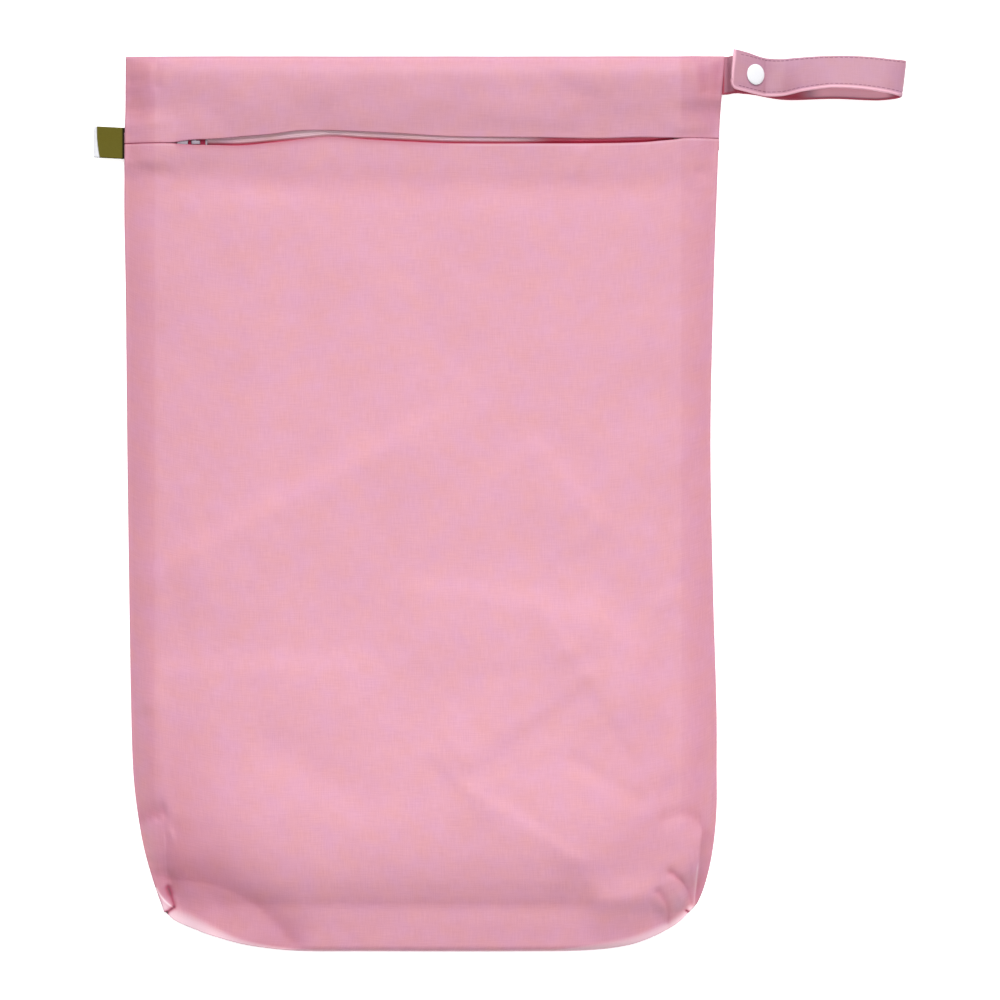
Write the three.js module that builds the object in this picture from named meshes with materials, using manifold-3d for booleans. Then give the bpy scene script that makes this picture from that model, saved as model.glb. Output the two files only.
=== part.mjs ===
// A zipped cloth pail bag that lies flat on its back, with a snapped strap loop at its top right corner.
// Millimetres. X runs across the bag, Y from its bottom to its top, Z up from the surface under it.
// The origin is the middle of the whole outline, strap and label included, on that surface.
import * as THREE from 'three';
import { mergeVertices } from 'three/addons/utils/BufferGeometryUtils.js';
import Module from 'manifold-3d';

const wasm = await Module();
wasm.setup();

// Cloth and clearances
const CLOTH = 1.0;
const GAP = 0.3;
const RIM_BOTTOM = CLOTH + GAP;
const RIM_TOP = RIM_BOTTOM + CLOTH;
const RIM_MIDDLE = CLOTH + GAP / 2;

// Side seams, a row for each section from the bottom corners to the top edge
const SIDES = [
  { y: -247, left: -201.5, right: 113.5 },
  { y: -228, left: -208, right: 123.6 },
  { y: -208, left: -213.5, right: 127.8 },
  { y: -185, left: -217.5, right: 129.9 },
  { y: -162, left: -219.9, right: 130 },
  { y: -126, left: -221.1, right: 129.9 },
  { y: -54, left: -222.3, right: 127.8 },
  { y: 36, left: -223.5, right: 126.3 },
  { y: 126, left: -224.4, right: 128.1 },
  { y: 180, left: -225.3, right: 129.9 },
  { y: 226, left: -224.7, right: 131.8 },
  { y: 265.8, left: -224.4, right: 134.7 },
];
const CORNER = SIDES[0];
const TOP_Y = SIDES[SIDES.length - 1].y;

// Bottom fold between the two corners
const BOTTOM_EDGE = [
  { x: -201.5, y: -247 },
  { x: -196, y: -252 },
  { x: -184.5, y: -256.8 },
  { x: -170, y: -261.6 },
  { x: -151, y: -266.4 },
  { x: -122, y: -269.6 },
  { x: -80, y: -270 },
  { x: 20, y: -270 },
  { x: 55, y: -269.2 },
  { x: 77, y: -266.4 },
  { x: 92, y: -261.6 },
  { x: 102.3, y: -256.8 },
  { x: 109.5, y: -252 },
  { x: 113.5, y: -247 },
];
const BOTTOM_RADIUS = 16;
const BOTTOM_HALF_HEIGHT = 5.4;
const CORNER_TAPER = 30;

// Slit over the zip: its upper and lower lips, which meet where both have one height
const LIP_Y = 214.5;
const SLIT = [
  { x: -225, upper: 214.5, lower: 214.5 },
  { x: -195, upper: 214.6, lower: 214.4 },
  { x: -187, upper: 215.8, lower: 213.4 },
  { x: -175, upper: 216.2, lower: 213.5 },
  { x: -144, upper: 218.8, lower: 214.2 },
  { x: -120, upper: 221.4, lower: 216.6 },
  { x: -102, upper: 221.9, lower: 218.6 },
  { x: -84, upper: 221.3, lower: 216.9 },
  { x: -60, upper: 220.2, lower: 215 },
  { x: -39, upper: 218.5, lower: 214.3 },
  { x: 19, upper: 218, lower: 214.2 },
  { x: 69, upper: 217.3, lower: 214.2 },
  { x: 106, upper: 217.1, lower: 217 },
  { x: 135, upper: 217, lower: 217 },
];

// Height of the upper cloth along the middle, and how far in from the side seams it takes to rise there
const CROWN = [
  { y: -270, height: 14, reach: 60 },
  { y: -258, height: 15.5, reach: 60 },
  { y: -241, height: 17, reach: 64 },
  { y: -220, height: 20, reach: 72 },
  { y: -190, height: 20.5, reach: 84 },
  { y: -140, height: 17.5, reach: 96 },
  { y: -60, height: 14.5, reach: 100 },
  { y: 60, height: 12.5, reach: 100 },
  { y: 150, height: 9.8, reach: 76 },
  { y: 195, height: 7.4, reach: 48 },
  { y: 214, height: 6.5, reach: 40 },
  { y: 240, height: 6, reach: 40 },
  { y: 258, height: 4.2, reach: 40 },
  { y: 266, height: 2.3, reach: 40 },
];
const SEAM_BAND = 12;
const RISE_POWER = 2.2;

// Folds and dents of the upper cloth: a ridge has a positive lift, a valley a negative one
const FOLDS = [
  { fromX: -199, fromY: -231.6, toX: -114, toY: -268, bow: 13, width: 7, lift: -4.5 },
  { fromX: -188, fromY: -247, toX: -132, toY: -262, bow: 3, width: 9, lift: 3.2 },
  { fromX: -214, fromY: -190, toX: -200, toY: -192, bow: 0, width: 5, lift: -2 },
  { fromX: -200, fromY: -202, toX: -199, toY: -230, bow: 0, width: 6, lift: -2 },
  { fromX: 119, fromY: -192, toX: 118, toY: -238, bow: 0, width: 4.5, lift: 2.6 },
  { fromX: 102, fromY: -223, toX: 114, toY: -243, bow: 2, width: 5, lift: -3 },
  { fromX: 93, fromY: -228, toX: 101, toY: -250, bow: 2, width: 5, lift: -2.2 },
  { fromX: -110, fromY: -240, toX: 60, toY: -240, bow: -2, width: 9, lift: -1.2 },
  { fromX: -15, fromY: -174, toX: 48, toY: -210, bow: 0, width: 7, lift: 1.4 },
  { fromX: -186, fromY: -30, toX: -66, toY: 36, bow: 0, width: 14, lift: 1.3 },
  { fromX: -50, fromY: -48, toX: 80, toY: -70, bow: 8, width: 14, lift: 1.1 },
  { fromX: -120, fromY: 244, toX: -20, toY: 228, bow: 0, width: 9, lift: 0.9 },
  { fromX: 0, fromY: 232, toX: 60, toY: 256, bow: 0, width: 8, lift: 0.8 },
];

// Zip
const ZIP = { left: -196, right: 104, y: 214.8, tapeWidth: 9 };
const COIL = { right: 94, width: 4.4, height: 1.2 };
const SLIDER = { x: -181, length: 11, wideEnd: 8, narrowEnd: 5.6, plate: 1.1, neck: 2.2, corner: 1.2 };
const CROWN_BAR = { foot: 1.2, span: 6.4, width: 2, rise: 2.1 };
const PULL = { length: 11, width: 4.6, thickness: 0.9, eyeLength: 2.2, eyeWidth: 2.8, eyeMargin: 1 };
const TAPE_SPREAD = SLIDER.neck / 2 + GAP;
const SLIDER_SWELL = { x: -187, flat: 13, fade: 16, innerLevel: 5, outerLevel: 16, lift: 3.4 };

// Strap: ribbon size, and the snap that closes its loop
const STRAP = { width: 22.8, thickness: 1.6, seamY: 254.2 };
const SNAP = { x: 149.3, y: 253.9, z: 6.9, tilt: 30 };
const CAP = { radius: 6.2, height: 1.5, edge: 0.4, roundness: 0.6, steps: 5 };
const CORE = { radius: 4.6, height: 2.8, groove: 0.8, grooveHeight: 0.5 };
const POST = { radius: 1.3, hole: 1.6, length: 1.7 };
const FLAP = 15.5;
const SNAP_FLAT = 5.5;
const SNAP_EASE = 3;

// Folded label in the left side seam
const LABEL = { y: 214.5, width: 18.6, tip: -243.3, root: -215, layer: 0.8 };

// Room between front and back for what is sewn into the side seams
const SEAM_ROOM = [
  { side: 'left', y: LABEL.y, half: LABEL.width / 2, fade: 12, lift: 2 * LABEL.layer + 2 * GAP },
  { side: 'right', y: STRAP.seamY, half: STRAP.width / 2, fade: 12, lift: STRAP.thickness + 2 * GAP },
];
const ROOM_MARGIN = 1;
const ROOM_FADE_START = 13;
const ROOM_FADE_END = 34;

// Grid steps of each cloth piece
const STEPS = {
  front: { across: 28, along: 38 },
  band: { across: 30, along: 7 },
  back: { across: 28, along: 18 },
  tape: { across: 1, along: 40 },
  strap: { across: 4, along: 64 },
  label: { across: 2, along: 14 },
};
const CROWDING = 0.68;
const ROUND_SIDES = 24;
const HOLE_SIDES = 16;
const CURVE_STEPS = 5;
const MERGE_DISTANCE = 1e-4;
const JOIN_DEPTH = 0.4;

const { lerp, clamp, smoothstep, degToRad } = THREE.MathUtils;

// A smooth curve through one column of a table whose rows are sorted by another column
function readTable(rows, key, column, at) {
  const last = rows.length - 1;
  let i = 0;
  while (i < last - 1 && at > rows[i + 1][key]) i += 1;
  const slope = (k) => {
    const before = rows[Math.max(k - 1, 0)];
    const after = rows[Math.min(k + 1, last)];
    return (after[column] - before[column]) / (after[key] - before[key]);
  };
  const span = rows[i + 1][key] - rows[i][key];
  const t = clamp((at - rows[i][key]) / span, 0, 1);
  const bend = t * t * (3 - 2 * t);
  const leave = t * (1 - t) * (1 - t) * span * slope(i);
  const arrive = t * t * (1 - t) * span * slope(i + 1);
  return lerp(rows[i][column], rows[i + 1][column], bend) + leave - arrive;
}

const leftSeam = (y) => readTable(SIDES, 'y', 'left', y);
const rightSeam = (y) => readTable(SIDES, 'y', 'right', y);
const bottomEdge = (x) => readTable(BOTTOM_EDGE, 'x', 'y', x);

function lips(x) {
  const upper = readTable(SLIT, 'x', 'upper', x);
  const lower = readTable(SLIT, 'x', 'lower', x);
  const middle = (upper + lower) / 2;
  const half = Math.max((upper - lower) / 2, GAP / 2);
  return { upper: middle + half, lower: middle - half };
}

// Lift of every fold at one place: each is a ridge or a valley along a bowed line
function foldLift(x, y) {
  let total = 0;
  for (const fold of FOLDS) {
    const dx = fold.toX - fold.fromX;
    const dy = fold.toY - fold.fromY;
    const length = Math.hypot(dx, dy);
    const along = ((x - fold.fromX) * dx + (y - fold.fromY) * dy) / (length * length);
    const t = clamp(along, 0, 1);
    const beside = ((y - fold.fromY) * dx - (x - fold.fromX) * dy) / length;
    const away = Math.hypot(beside - fold.bow * 4 * t * (1 - t), (along - t) * length);
    total += fold.lift * Math.exp(-((away / fold.width) ** 2));
  }
  return total;
}

// Extra height beside a side seam where the strap or the label is sewn in
function seamRoom(x, y) {
  let total = 0;
  for (const room of SEAM_ROOM) {
    const inward = room.side === 'left' ? x - leftSeam(y) : rightSeam(y) - x;
    const near = 1 - smoothstep(inward, ROOM_FADE_START, ROOM_FADE_END);
    const level = 1 - smoothstep(Math.abs(y - room.y), room.half + ROOM_MARGIN, room.half + room.fade);
    total += room.lift * near * level;
  }
  return total;
}

// Swelling of the lips where they cover the slider and its pull
function sliderSwell(x, y) {
  const { flat, fade, innerLevel, outerLevel, lift } = SLIDER_SWELL;
  const beside = 1 - smoothstep(Math.abs(x - SLIDER_SWELL.x), flat, flat + fade);
  const level = 1 - smoothstep(Math.abs(y - LIP_Y), innerLevel, outerLevel);
  return lift * beside * level;
}

// Upper cloth before folds and swelling
function plainHeight(x, y) {
  const depth = Math.max(Math.min(x - leftSeam(y), rightSeam(y) - x), 0);
  const share = clamp((depth - SEAM_BAND) / readTable(CROWN, 'y', 'reach', y), 0, 1);
  const rise = 1 - (1 - share) ** RISE_POWER;
  return RIM_TOP + rise * (readTable(CROWN, 'y', 'height', y) - RIM_TOP);
}

// Upper cloth with its folds, which fade out at the side seams
function clothHeight(x, y) {
  const depth = Math.max(Math.min(x - leftSeam(y), rightSeam(y) - x), 0);
  const clear = smoothstep(depth, 0, SEAM_BAND);
  const folded = plainHeight(x, y) + clear * foldLift(x, y);
  return Math.max(folded, RIM_TOP) + seamRoom(x, y) + sliderSwell(x, y);
}

// Bottom fold: how far round it a place is, and how much of a rounded fold is left near the corners
function foldTurn(x, y) {
  return clamp(1 - (y - bottomEdge(x)) / BOTTOM_RADIUS, 0, 1);
}

function foldShare(x) {
  const inward = Math.min(x - CORNER.left, CORNER.right - x);
  return smoothstep(inward, 0, CORNER_TAPER);
}

// Height of the cut between front and back at the bottom fold: side 1 is the front's, side -1 the back's
const foldCut = (share, side) => RIM_MIDDLE + share * BOTTOM_HALF_HEIGHT + side * GAP / 2;

// Grid of points from a function of two shares, each from 0 to 1
function surfaceGrid(steps, pointAt) {
  const grid = [];
  for (let r = 0; r <= steps.along; r += 1) {
    const line = [];
    for (let c = 0; c <= steps.across; c += 1) {
      line.push(pointAt(c / steps.across, r / steps.along));
    }
    grid.push(line);
  }
  return grid;
}

// The same grid moved along its own surface normals
function offsetGrid(grid, distance) {
  const lastRow = grid.length - 1;
  return grid.map((line, r) => line.map((point, c) => {
    const lastColumn = line.length - 1;
    const across = line[Math.min(c + 1, lastColumn)].clone().sub(line[Math.max(c - 1, 0)]);
    const along = grid[Math.min(r + 1, lastRow)][c].clone().sub(grid[Math.max(r - 1, 0)][c]);
    const normal = across.cross(along).normalize();
    return point.clone().addScaledVector(normal, distance);
  }));
}

// The same grid moved straight down
const lowered = (grid, drop) => grid.map((line) => line.map((point) => point.clone().setZ(point.z - drop)));

// Closed solid between two grids of the same size
function solidBetween(first, second) {
  const rows = first.length;
  const columns = first[0].length;
  const positions = [];
  for (const grid of [first, second]) {
    for (const point of grid.flat()) positions.push(point.x, point.y, point.z);
  }
  const at = (layer, r, c) => (layer * rows + r) * columns + c;
  const triangles = [];
  for (let r = 0; r < rows - 1; r += 1) {
    for (let c = 0; c < columns - 1; c += 1) {
      const [a, b, d, e] = [at(0, r, c), at(0, r, c + 1), at(0, r + 1, c + 1), at(0, r + 1, c)];
      triangles.push(a, b, d, a, d, e);
      const [f, g, h, i] = [at(1, r, c), at(1, r, c + 1), at(1, r + 1, c + 1), at(1, r + 1, c)];
      triangles.push(f, h, g, f, i, h);
    }
  }
  const rim = [];
  for (let c = 0; c < columns - 1; c += 1) rim.push([0, c]);
  for (let r = 0; r < rows - 1; r += 1) rim.push([r, columns - 1]);
  for (let c = columns - 1; c > 0; c -= 1) rim.push([rows - 1, c]);
  for (let r = rows - 1; r > 0; r -= 1) rim.push([r, 0]);
  rim.forEach(([r, c], k) => {
    const [nextR, nextC] = rim[(k + 1) % rim.length];
    const [a, b] = [at(0, r, c), at(0, nextR, nextC)];
    const [d, e] = [at(1, nextR, nextC), at(1, r, c)];
    triangles.push(b, a, e, b, e, d);
  });
  const geometry = new THREE.BufferGeometry();
  geometry.setAttribute('position', new THREE.Float32BufferAttribute(positions, 3));
  geometry.setIndex(triangles);
  return facingOut(geometry);
}

// Closed solid with a grid as its middle
function thickened(middle, thickness) {
  return solidBetween(offsetGrid(middle, thickness / 2), offsetGrid(middle, -thickness / 2));
}

// Turns every triangle round if the solid is inside out
function facingOut(geometry) {
  const position = geometry.getAttribute('position');
  const index = geometry.getIndex();
  const corner = (k) => new THREE.Vector3().fromBufferAttribute(position, index.getX(k));
  let volume = 0;
  for (let k = 0; k < index.count; k += 3) {
    volume += corner(k).dot(corner(k + 1).cross(corner(k + 2)));
  }
  if (volume < 0) {
    for (let k = 0; k < index.count; k += 3) {
      const second = index.getX(k + 1);
      index.setX(k + 1, index.getX(k + 2));
      index.setX(k + 2, second);
    }
  }
  return geometry;
}

// Joining and cutting of closed solids
function toSolid(geometry) {
  const bare = geometry.clone();
  bare.deleteAttribute('normal');
  bare.deleteAttribute('uv');
  const merged = mergeVertices(bare, MERGE_DISTANCE);
  const vertProperties = new Float32Array(merged.getAttribute('position').array);
  const triVerts = new Uint32Array(merged.getIndex().array);
  return new wasm.Manifold(new wasm.Mesh({ numProp: 3, vertProperties, triVerts }));
}

function toGeometry(solid) {
  const mesh = solid.getMesh();
  const geometry = new THREE.BufferGeometry();
  geometry.setAttribute('position', new THREE.BufferAttribute(mesh.vertProperties, 3));
  geometry.setIndex(new THREE.BufferAttribute(mesh.triVerts, 1));
  return geometry;
}

function join(pieces) {
  const solids = pieces.map(toSolid);
  return toGeometry(solids.reduce((whole, next) => whole.add(next)));
}

function cut(piece, tools) {
  const solids = tools.map(toSolid);
  return toGeometry(solids.reduce((rest, tool) => rest.subtract(tool), toSolid(piece)));
}

// Grid lines crowd towards both ends of a cloth piece, where its seams and folds are
const crowdEnds = (share) => share - CROWDING * Math.sin(2 * Math.PI * share) / (2 * Math.PI);

function frontPanel() {
  const outer = surfaceGrid(STEPS.front, (across, along) => {
    const u = crowdEnds(across);
    const v = crowdEnds(along);
    const level = lerp(LIP_Y, CORNER.y, v);
    const x = lerp(leftSeam(level), rightSeam(level), u);
    const y = lerp(lips(x).lower, bottomEdge(lerp(CORNER.left, CORNER.right, u)), v);
    const share = foldShare(x);
    const edge = lerp(RIM_TOP, foldCut(share, 1), share);
    const turn = foldTurn(x, y);
    const z = edge + (clothHeight(x, y) - edge) * Math.sqrt(1 - turn * turn);
    return new THREE.Vector3(x, y, z);
  });
  const inner = offsetGrid(outer, CLOTH);
  const { across, along } = STEPS.front;
  inner.forEach((line, r) => line.forEach((point, c) => {
    const above = outer[r][c];
    if (r === 0 || c === 0 || c === across) point.set(above.x, above.y, above.z - CLOTH);
    const share = foldShare(above.x) * foldTurn(above.x, above.y);
    const floor = lerp(RIM_BOTTOM, foldCut(share, 1), share);
    point.z = r === along ? floor : Math.max(point.z, floor);
  }));
  return solidBetween(outer, inner);
}

function topBand() {
  const outer = surfaceGrid(STEPS.band, (across, along) => {
    const level = lerp(LIP_Y, TOP_Y, along);
    const x = lerp(leftSeam(level), rightSeam(level), crowdEnds(across));
    const y = lerp(lips(x).upper, TOP_Y, along);
    return new THREE.Vector3(x, y, clothHeight(x, y));
  });
  return solidBetween(outer, lowered(outer, CLOTH));
}

function backPanel() {
  const outer = surfaceGrid(STEPS.back, (across, along) => {
    const v = crowdEnds(along);
    const level = lerp(TOP_Y, CORNER.y, v);
    const x = lerp(leftSeam(level), rightSeam(level), crowdEnds(across));
    const y = lerp(TOP_Y, bottomEdge(lerp(CORNER.left, CORNER.right, crowdEnds(across))), v);
    const share = foldShare(x);
    const edge = share * foldCut(share, -1);
    const turn = foldTurn(x, y);
    return new THREE.Vector3(x, y, edge * (1 - Math.sqrt(1 - turn * turn)));
  });
  const inner = offsetGrid(outer, -CLOTH);
  const { across, along } = STEPS.back;
  inner.forEach((line, r) => line.forEach((point, c) => {
    const below = outer[r][c];
    if (r === 0 || c === 0 || c === across) point.set(below.x, below.y, below.z + CLOTH);
    const share = foldShare(below.x) * foldTurn(below.x, below.y);
    const ceiling = lerp(CLOTH, foldCut(share, -1), share);
    point.z = r === along ? ceiling : Math.min(point.z, Math.max(ceiling, below.z + CLOTH));
  }));
  return solidBetween(outer, inner);
}

// Top of the zip tapes, just under the lips
const tapeTop = (x) => plainHeight(x, ZIP.y) - CLOTH - 1.5 * GAP;

// The tapes part round the slider's neck
const tapeEdge = (x) => lerp(TAPE_SPREAD, GAP / 2, smoothstep(x, SLIDER.x, SLIDER.x + SLIDER.length));

function zipTape(direction) {
  const upper = surfaceGrid(STEPS.tape, (across, along) => {
    const x = lerp(ZIP.left, ZIP.right, along);
    const y = ZIP.y + direction * lerp(tapeEdge(x), ZIP.tapeWidth, across);
    return new THREE.Vector3(x, y, tapeTop(x));
  });
  return solidBetween(upper, lowered(upper, CLOTH));
}

function zipCoil() {
  const left = SLIDER.x + SLIDER.length / 2 + GAP;
  const upper = surfaceGrid(STEPS.tape, (across, along) => {
    const x = lerp(left, COIL.right, along);
    const y = ZIP.y + (across - 0.5) * COIL.width;
    return new THREE.Vector3(x, y, tapeTop(x) - CLOTH - GAP);
  });
  return solidBetween(upper, lowered(upper, COIL.height));
}

function extrude(shape, depth) {
  return new THREE.ExtrudeGeometry(shape, { depth, bevelEnabled: false, curveSegments: CURVE_STEPS });
}

// Slider: two tapered plates on a neck, with a bar over the upper plate that holds the pull
const sliderPlateZ = tapeTop(SLIDER.x) + GAP;

function taperedPlate() {
  const { length, wideEnd, narrowEnd, corner } = SLIDER;
  const shape = new THREE.Shape();
  shape.moveTo(-length / 2 + corner, -narrowEnd / 2);
  shape.lineTo(length / 2 - corner, -wideEnd / 2);
  shape.quadraticCurveTo(length / 2, -wideEnd / 2, length / 2, -wideEnd / 2 + corner);
  shape.lineTo(length / 2, wideEnd / 2 - corner);
  shape.quadraticCurveTo(length / 2, wideEnd / 2, length / 2 - corner, wideEnd / 2);
  shape.lineTo(-length / 2 + corner, narrowEnd / 2);
  shape.quadraticCurveTo(-length / 2, narrowEnd / 2, -length / 2, narrowEnd / 2 - corner);
  shape.lineTo(-length / 2, -narrowEnd / 2 + corner);
  shape.quadraticCurveTo(-length / 2, -narrowEnd / 2, -length / 2 + corner, -narrowEnd / 2);
  return extrude(shape, SLIDER.plate);
}

function zipSlider() {
  const upperPlate = taperedPlate();
  const neckHeight = CLOTH + 2 * GAP;
  const lowerPlate = taperedPlate().translate(0, 0, -neckHeight - SLIDER.plate);
  const neck = new THREE.BoxGeometry(SLIDER.neck, SLIDER.neck, neckHeight + 2 * JOIN_DEPTH);
  neck.translate(-SLIDER.length / 4, 0, -neckHeight / 2);
  const { foot, span, width, rise } = CROWN_BAR;
  const arch = new THREE.Shape();
  arch.moveTo(-span / 2, -JOIN_DEPTH);
  arch.lineTo(-span / 2, rise - foot);
  arch.quadraticCurveTo(-span / 2, rise, -span / 2 + foot, rise);
  arch.lineTo(span / 2 - foot, rise);
  arch.quadraticCurveTo(span / 2, rise, span / 2, rise - foot);
  arch.lineTo(span / 2, -JOIN_DEPTH);
  arch.lineTo(span / 2 - foot, -JOIN_DEPTH);
  arch.lineTo(span / 2 - foot, rise - foot / 2);
  arch.lineTo(-span / 2 + foot, rise - foot / 2);
  arch.lineTo(-span / 2 + foot, -JOIN_DEPTH);
  const bar = extrude(arch, width);
  bar.rotateX(Math.PI / 2).translate(0, width / 2, SLIDER.plate);
  return join([upperPlate, neck, lowerPlate, bar]);
}

// Flat tab whose eye goes round the left foot of the slider's bar
function zipPull() {
  const { length, width, thickness, eyeLength, eyeWidth, eyeMargin } = PULL;
  const right = eyeLength / 2 + eyeMargin;
  const tab = new THREE.Shape();
  tab.moveTo(right, -width / 2);
  tab.lineTo(right, width / 2);
  tab.lineTo(right - length + width / 2, width / 2);
  tab.absarc(right - length + width / 2, 0, width / 2, Math.PI / 2, 1.5 * Math.PI, false);
  tab.lineTo(right, -width / 2);
  const eye = new THREE.Path();
  eye.moveTo(-eyeLength / 2, -eyeWidth / 2);
  eye.lineTo(-eyeLength / 2, eyeWidth / 2);
  eye.lineTo(eyeLength / 2, eyeWidth / 2);
  eye.lineTo(eyeLength / 2, -eyeWidth / 2);
  eye.lineTo(-eyeLength / 2, -eyeWidth / 2);
  tab.holes.push(eye);
  return extrude(tab, thickness);
}

// Middle line of the strap: out along the surface, round the fold, and back over itself to the snap
const snapNormal = new THREE.Vector3(Math.sin(degToRad(SNAP.tilt)), 0, Math.cos(degToRad(SNAP.tilt)));
const snapSlope = new THREE.Vector3(snapNormal.z, 0, -snapNormal.x);
const LAYER_STEP = STRAP.thickness + CORE.height + 2 * GAP;

function snapRow(layer, ahead, y) {
  const point = new THREE.Vector3(SNAP.x, y, SNAP.z);
  point.addScaledVector(snapNormal, layer * LAYER_STEP).addScaledVector(snapSlope, ahead);
  return { x: point.x, y, z: point.z, roll: 0 };
}

const STRAP_LINE = [
  { x: 124, y: 254.2, z: 2.1, roll: 0 },
  { x: 133, y: 254.2, z: 2.1, roll: 0 },
  { x: 136.6, y: 254.2, z: 3.8, roll: 0 },
  { x: 138.9, y: 254.2, z: 8.4, roll: 0 },
  snapRow(0, -SNAP_FLAT - SNAP_EASE, 254.1),
  snapRow(0, -SNAP_FLAT, 254),
  snapRow(0, 0, SNAP.y),
  snapRow(0, SNAP_FLAT, 253.8),
  snapRow(0, SNAP_FLAT + SNAP_EASE, 253.7),
  { x: 163, y: 253.2, z: 1.2, roll: 0 },
  { x: 172, y: 252.8, z: 0.9, roll: 0 },
  { x: 204, y: 252, z: 0.9, roll: 0 },
  { x: 231, y: 251.4, z: 1.2, roll: 0 },
  { x: 241.6, y: 251.6, z: 5.8, roll: 8 },
  { x: 233, y: 252.4, z: 10.8, roll: 15 },
  { x: 216, y: 253.8, z: 13.4, roll: 22 },
  { x: 197, y: 255, z: 13.4, roll: 24 },
  { x: 180, y: 254.2, z: 10.2, roll: 16 },
  { x: 168, y: 253.4, z: 6.8, roll: 6 },
  snapRow(1, SNAP_FLAT + SNAP_EASE, 253.6),
  snapRow(1, SNAP_FLAT, 253.7),
  snapRow(1, 0, SNAP.y),
  snapRow(1, -SNAP_FLAT, 254.3),
  snapRow(1, -FLAP, 255.2),
];

function strapGrid() {
  const points = STRAP_LINE.map((row) => new THREE.Vector3(row.x, row.y, row.z));
  const curve = new THREE.CatmullRomCurve3(points);
  const lastRow = STRAP_LINE.length - 1;
  return surfaceGrid(STEPS.strap, (across, along) => {
    const place = along * lastRow;
    const row = Math.min(Math.floor(place), lastRow - 1);
    const roll = degToRad(lerp(STRAP_LINE[row].roll, STRAP_LINE[row + 1].roll, place - row));
    const sideways = new THREE.Vector3(0, Math.cos(roll), -Math.sin(roll));
    const tangent = curve.getTangent(along);
    sideways.addScaledVector(tangent, -sideways.dot(tangent)).normalize();
    const point = curve.getPoint(along).addScaledVector(sideways, (across - 0.5) * STRAP.width);
    return point.setZ(Math.max(point.z, STRAP.thickness / 2));
  });
}

// Places a piece of the snap: a distance above the lower layer's middle, along the snap's own axis
function onSnap(object, height) {
  object.rotation.y = degToRad(SNAP.tilt);
  object.position.set(SNAP.x, SNAP.y, SNAP.z).addScaledVector(snapNormal, height);
  return object;
}

function postHole(height) {
  const tool = new THREE.CylinderGeometry(POST.hole, POST.hole, 2 * STRAP.thickness, HOLE_SIDES);
  tool.rotateX(Math.PI / 2);
  const holder = onSnap(new THREE.Object3D(), height);
  holder.updateMatrix();
  return tool.applyMatrix4(holder.matrix);
}

function strap() {
  const ribbon = thickened(strapGrid(), STRAP.thickness);
  return cut(ribbon, [postHole(0), postHole(LAYER_STEP)]);
}

// Domed cap with a post that goes down through the strap
function snapCap() {
  const profile = [
    [0, -POST.length],
    [POST.radius, -POST.length],
    [POST.radius, 0],
    [CAP.radius - CAP.edge, 0],
  ];
  for (let k = 0; k < CAP.steps; k += 1) {
    const angle = (k / CAP.steps) * Math.PI / 2;
    const height = CAP.edge + (CAP.height - CAP.edge) * Math.sin(angle);
    profile.push([CAP.radius * Math.cos(angle) ** CAP.roundness, height]);
  }
  profile.push([0, CAP.height]);
  return lathe(profile);
}

// Closed socket and stud, with a groove where they meet
function snapCore() {
  const half = CORE.height / 2;
  const lip = CORE.grooveHeight / 2;
  const profile = [
    [0, -half],
    [CORE.radius, -half],
    [CORE.radius, -lip],
    [CORE.radius - CORE.groove, 0],
    [CORE.radius, lip],
    [CORE.radius, half],
    [0, half],
  ];
  return lathe(profile);
}

function lathe(profile) {
  const points = profile.map(([radius, height]) => new THREE.Vector2(radius, height));
  return new THREE.LatheGeometry(points, ROUND_SIDES).rotateX(Math.PI / 2);
}

// Ribbon folded in half, its fold away from the bag and both ends in the seam
function sideLabel() {
  const turn = (LABEL.layer + GAP) / 2;
  const level = CLOTH + GAP + LABEL.layer / 2 + turn;
  const run = LABEL.root - LABEL.tip - turn - LABEL.layer / 2;
  const half = Math.PI * turn / 2;
  const middle = surfaceGrid(STEPS.label, (across, along) => {
    const y = LABEL.y + (across - 0.5) * LABEL.width;
    const travelled = (2 * along - 1) * (run + half);
    const past = Math.abs(travelled) - half;
    const side = Math.sign(travelled);
    const bend = travelled / turn;
    const x = past > 0 ? LABEL.root - run + past : LABEL.root - run - turn * Math.cos(bend);
    const z = past > 0 ? level + side * turn : level + turn * Math.sin(bend);
    return new THREE.Vector3(x, y, z);
  });
  return thickened(middle, LABEL.layer);
}

// Materials
function finish(color, roughness, metalness = 0) {
  return new THREE.MeshStandardMaterial({ color, roughness, metalness });
}

const pinkCloth = finish('#e9aebf', 0.85);
const bandCloth = finish('#e6a9bb', 0.85);
const backCloth = finish('#e2a4b6', 0.85);
const strapCloth = finish('#dba3b6', 0.85);
const tapeCloth = finish('#c8a0aa', 0.7);
const coilNylon = finish('#c48a9c', 0.5);
const greyMetal = finish('#b9b3b4', 0.35, 0.8);
const pullMetal = finish('#c4bfc0', 0.35, 0.8);
const whitePlastic = finish('#f7f7f8', 0.25);
const hiddenPlastic = finish('#efeff1', 0.3);
const oliveRibbon = finish('#77702f', 0.8);

function piece(name, geometry, material) {
  const mesh = new THREE.Mesh(geometry, material);
  mesh.name = name;
  return mesh;
}

const bag = new THREE.Group();
bag.add(piece('front_panel', frontPanel(), pinkCloth));
bag.add(piece('top_band', topBand(), bandCloth));
bag.add(piece('back_panel', backPanel(), backCloth));
bag.add(piece('zip_tape_upper', zipTape(1), tapeCloth));
bag.add(piece('zip_tape_lower', zipTape(-1), tapeCloth.clone()));
bag.add(piece('zip_coil', zipCoil(), coilNylon));
bag.add(piece('strap', strap(), strapCloth));
bag.add(piece('side_label', sideLabel(), oliveRibbon));

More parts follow.
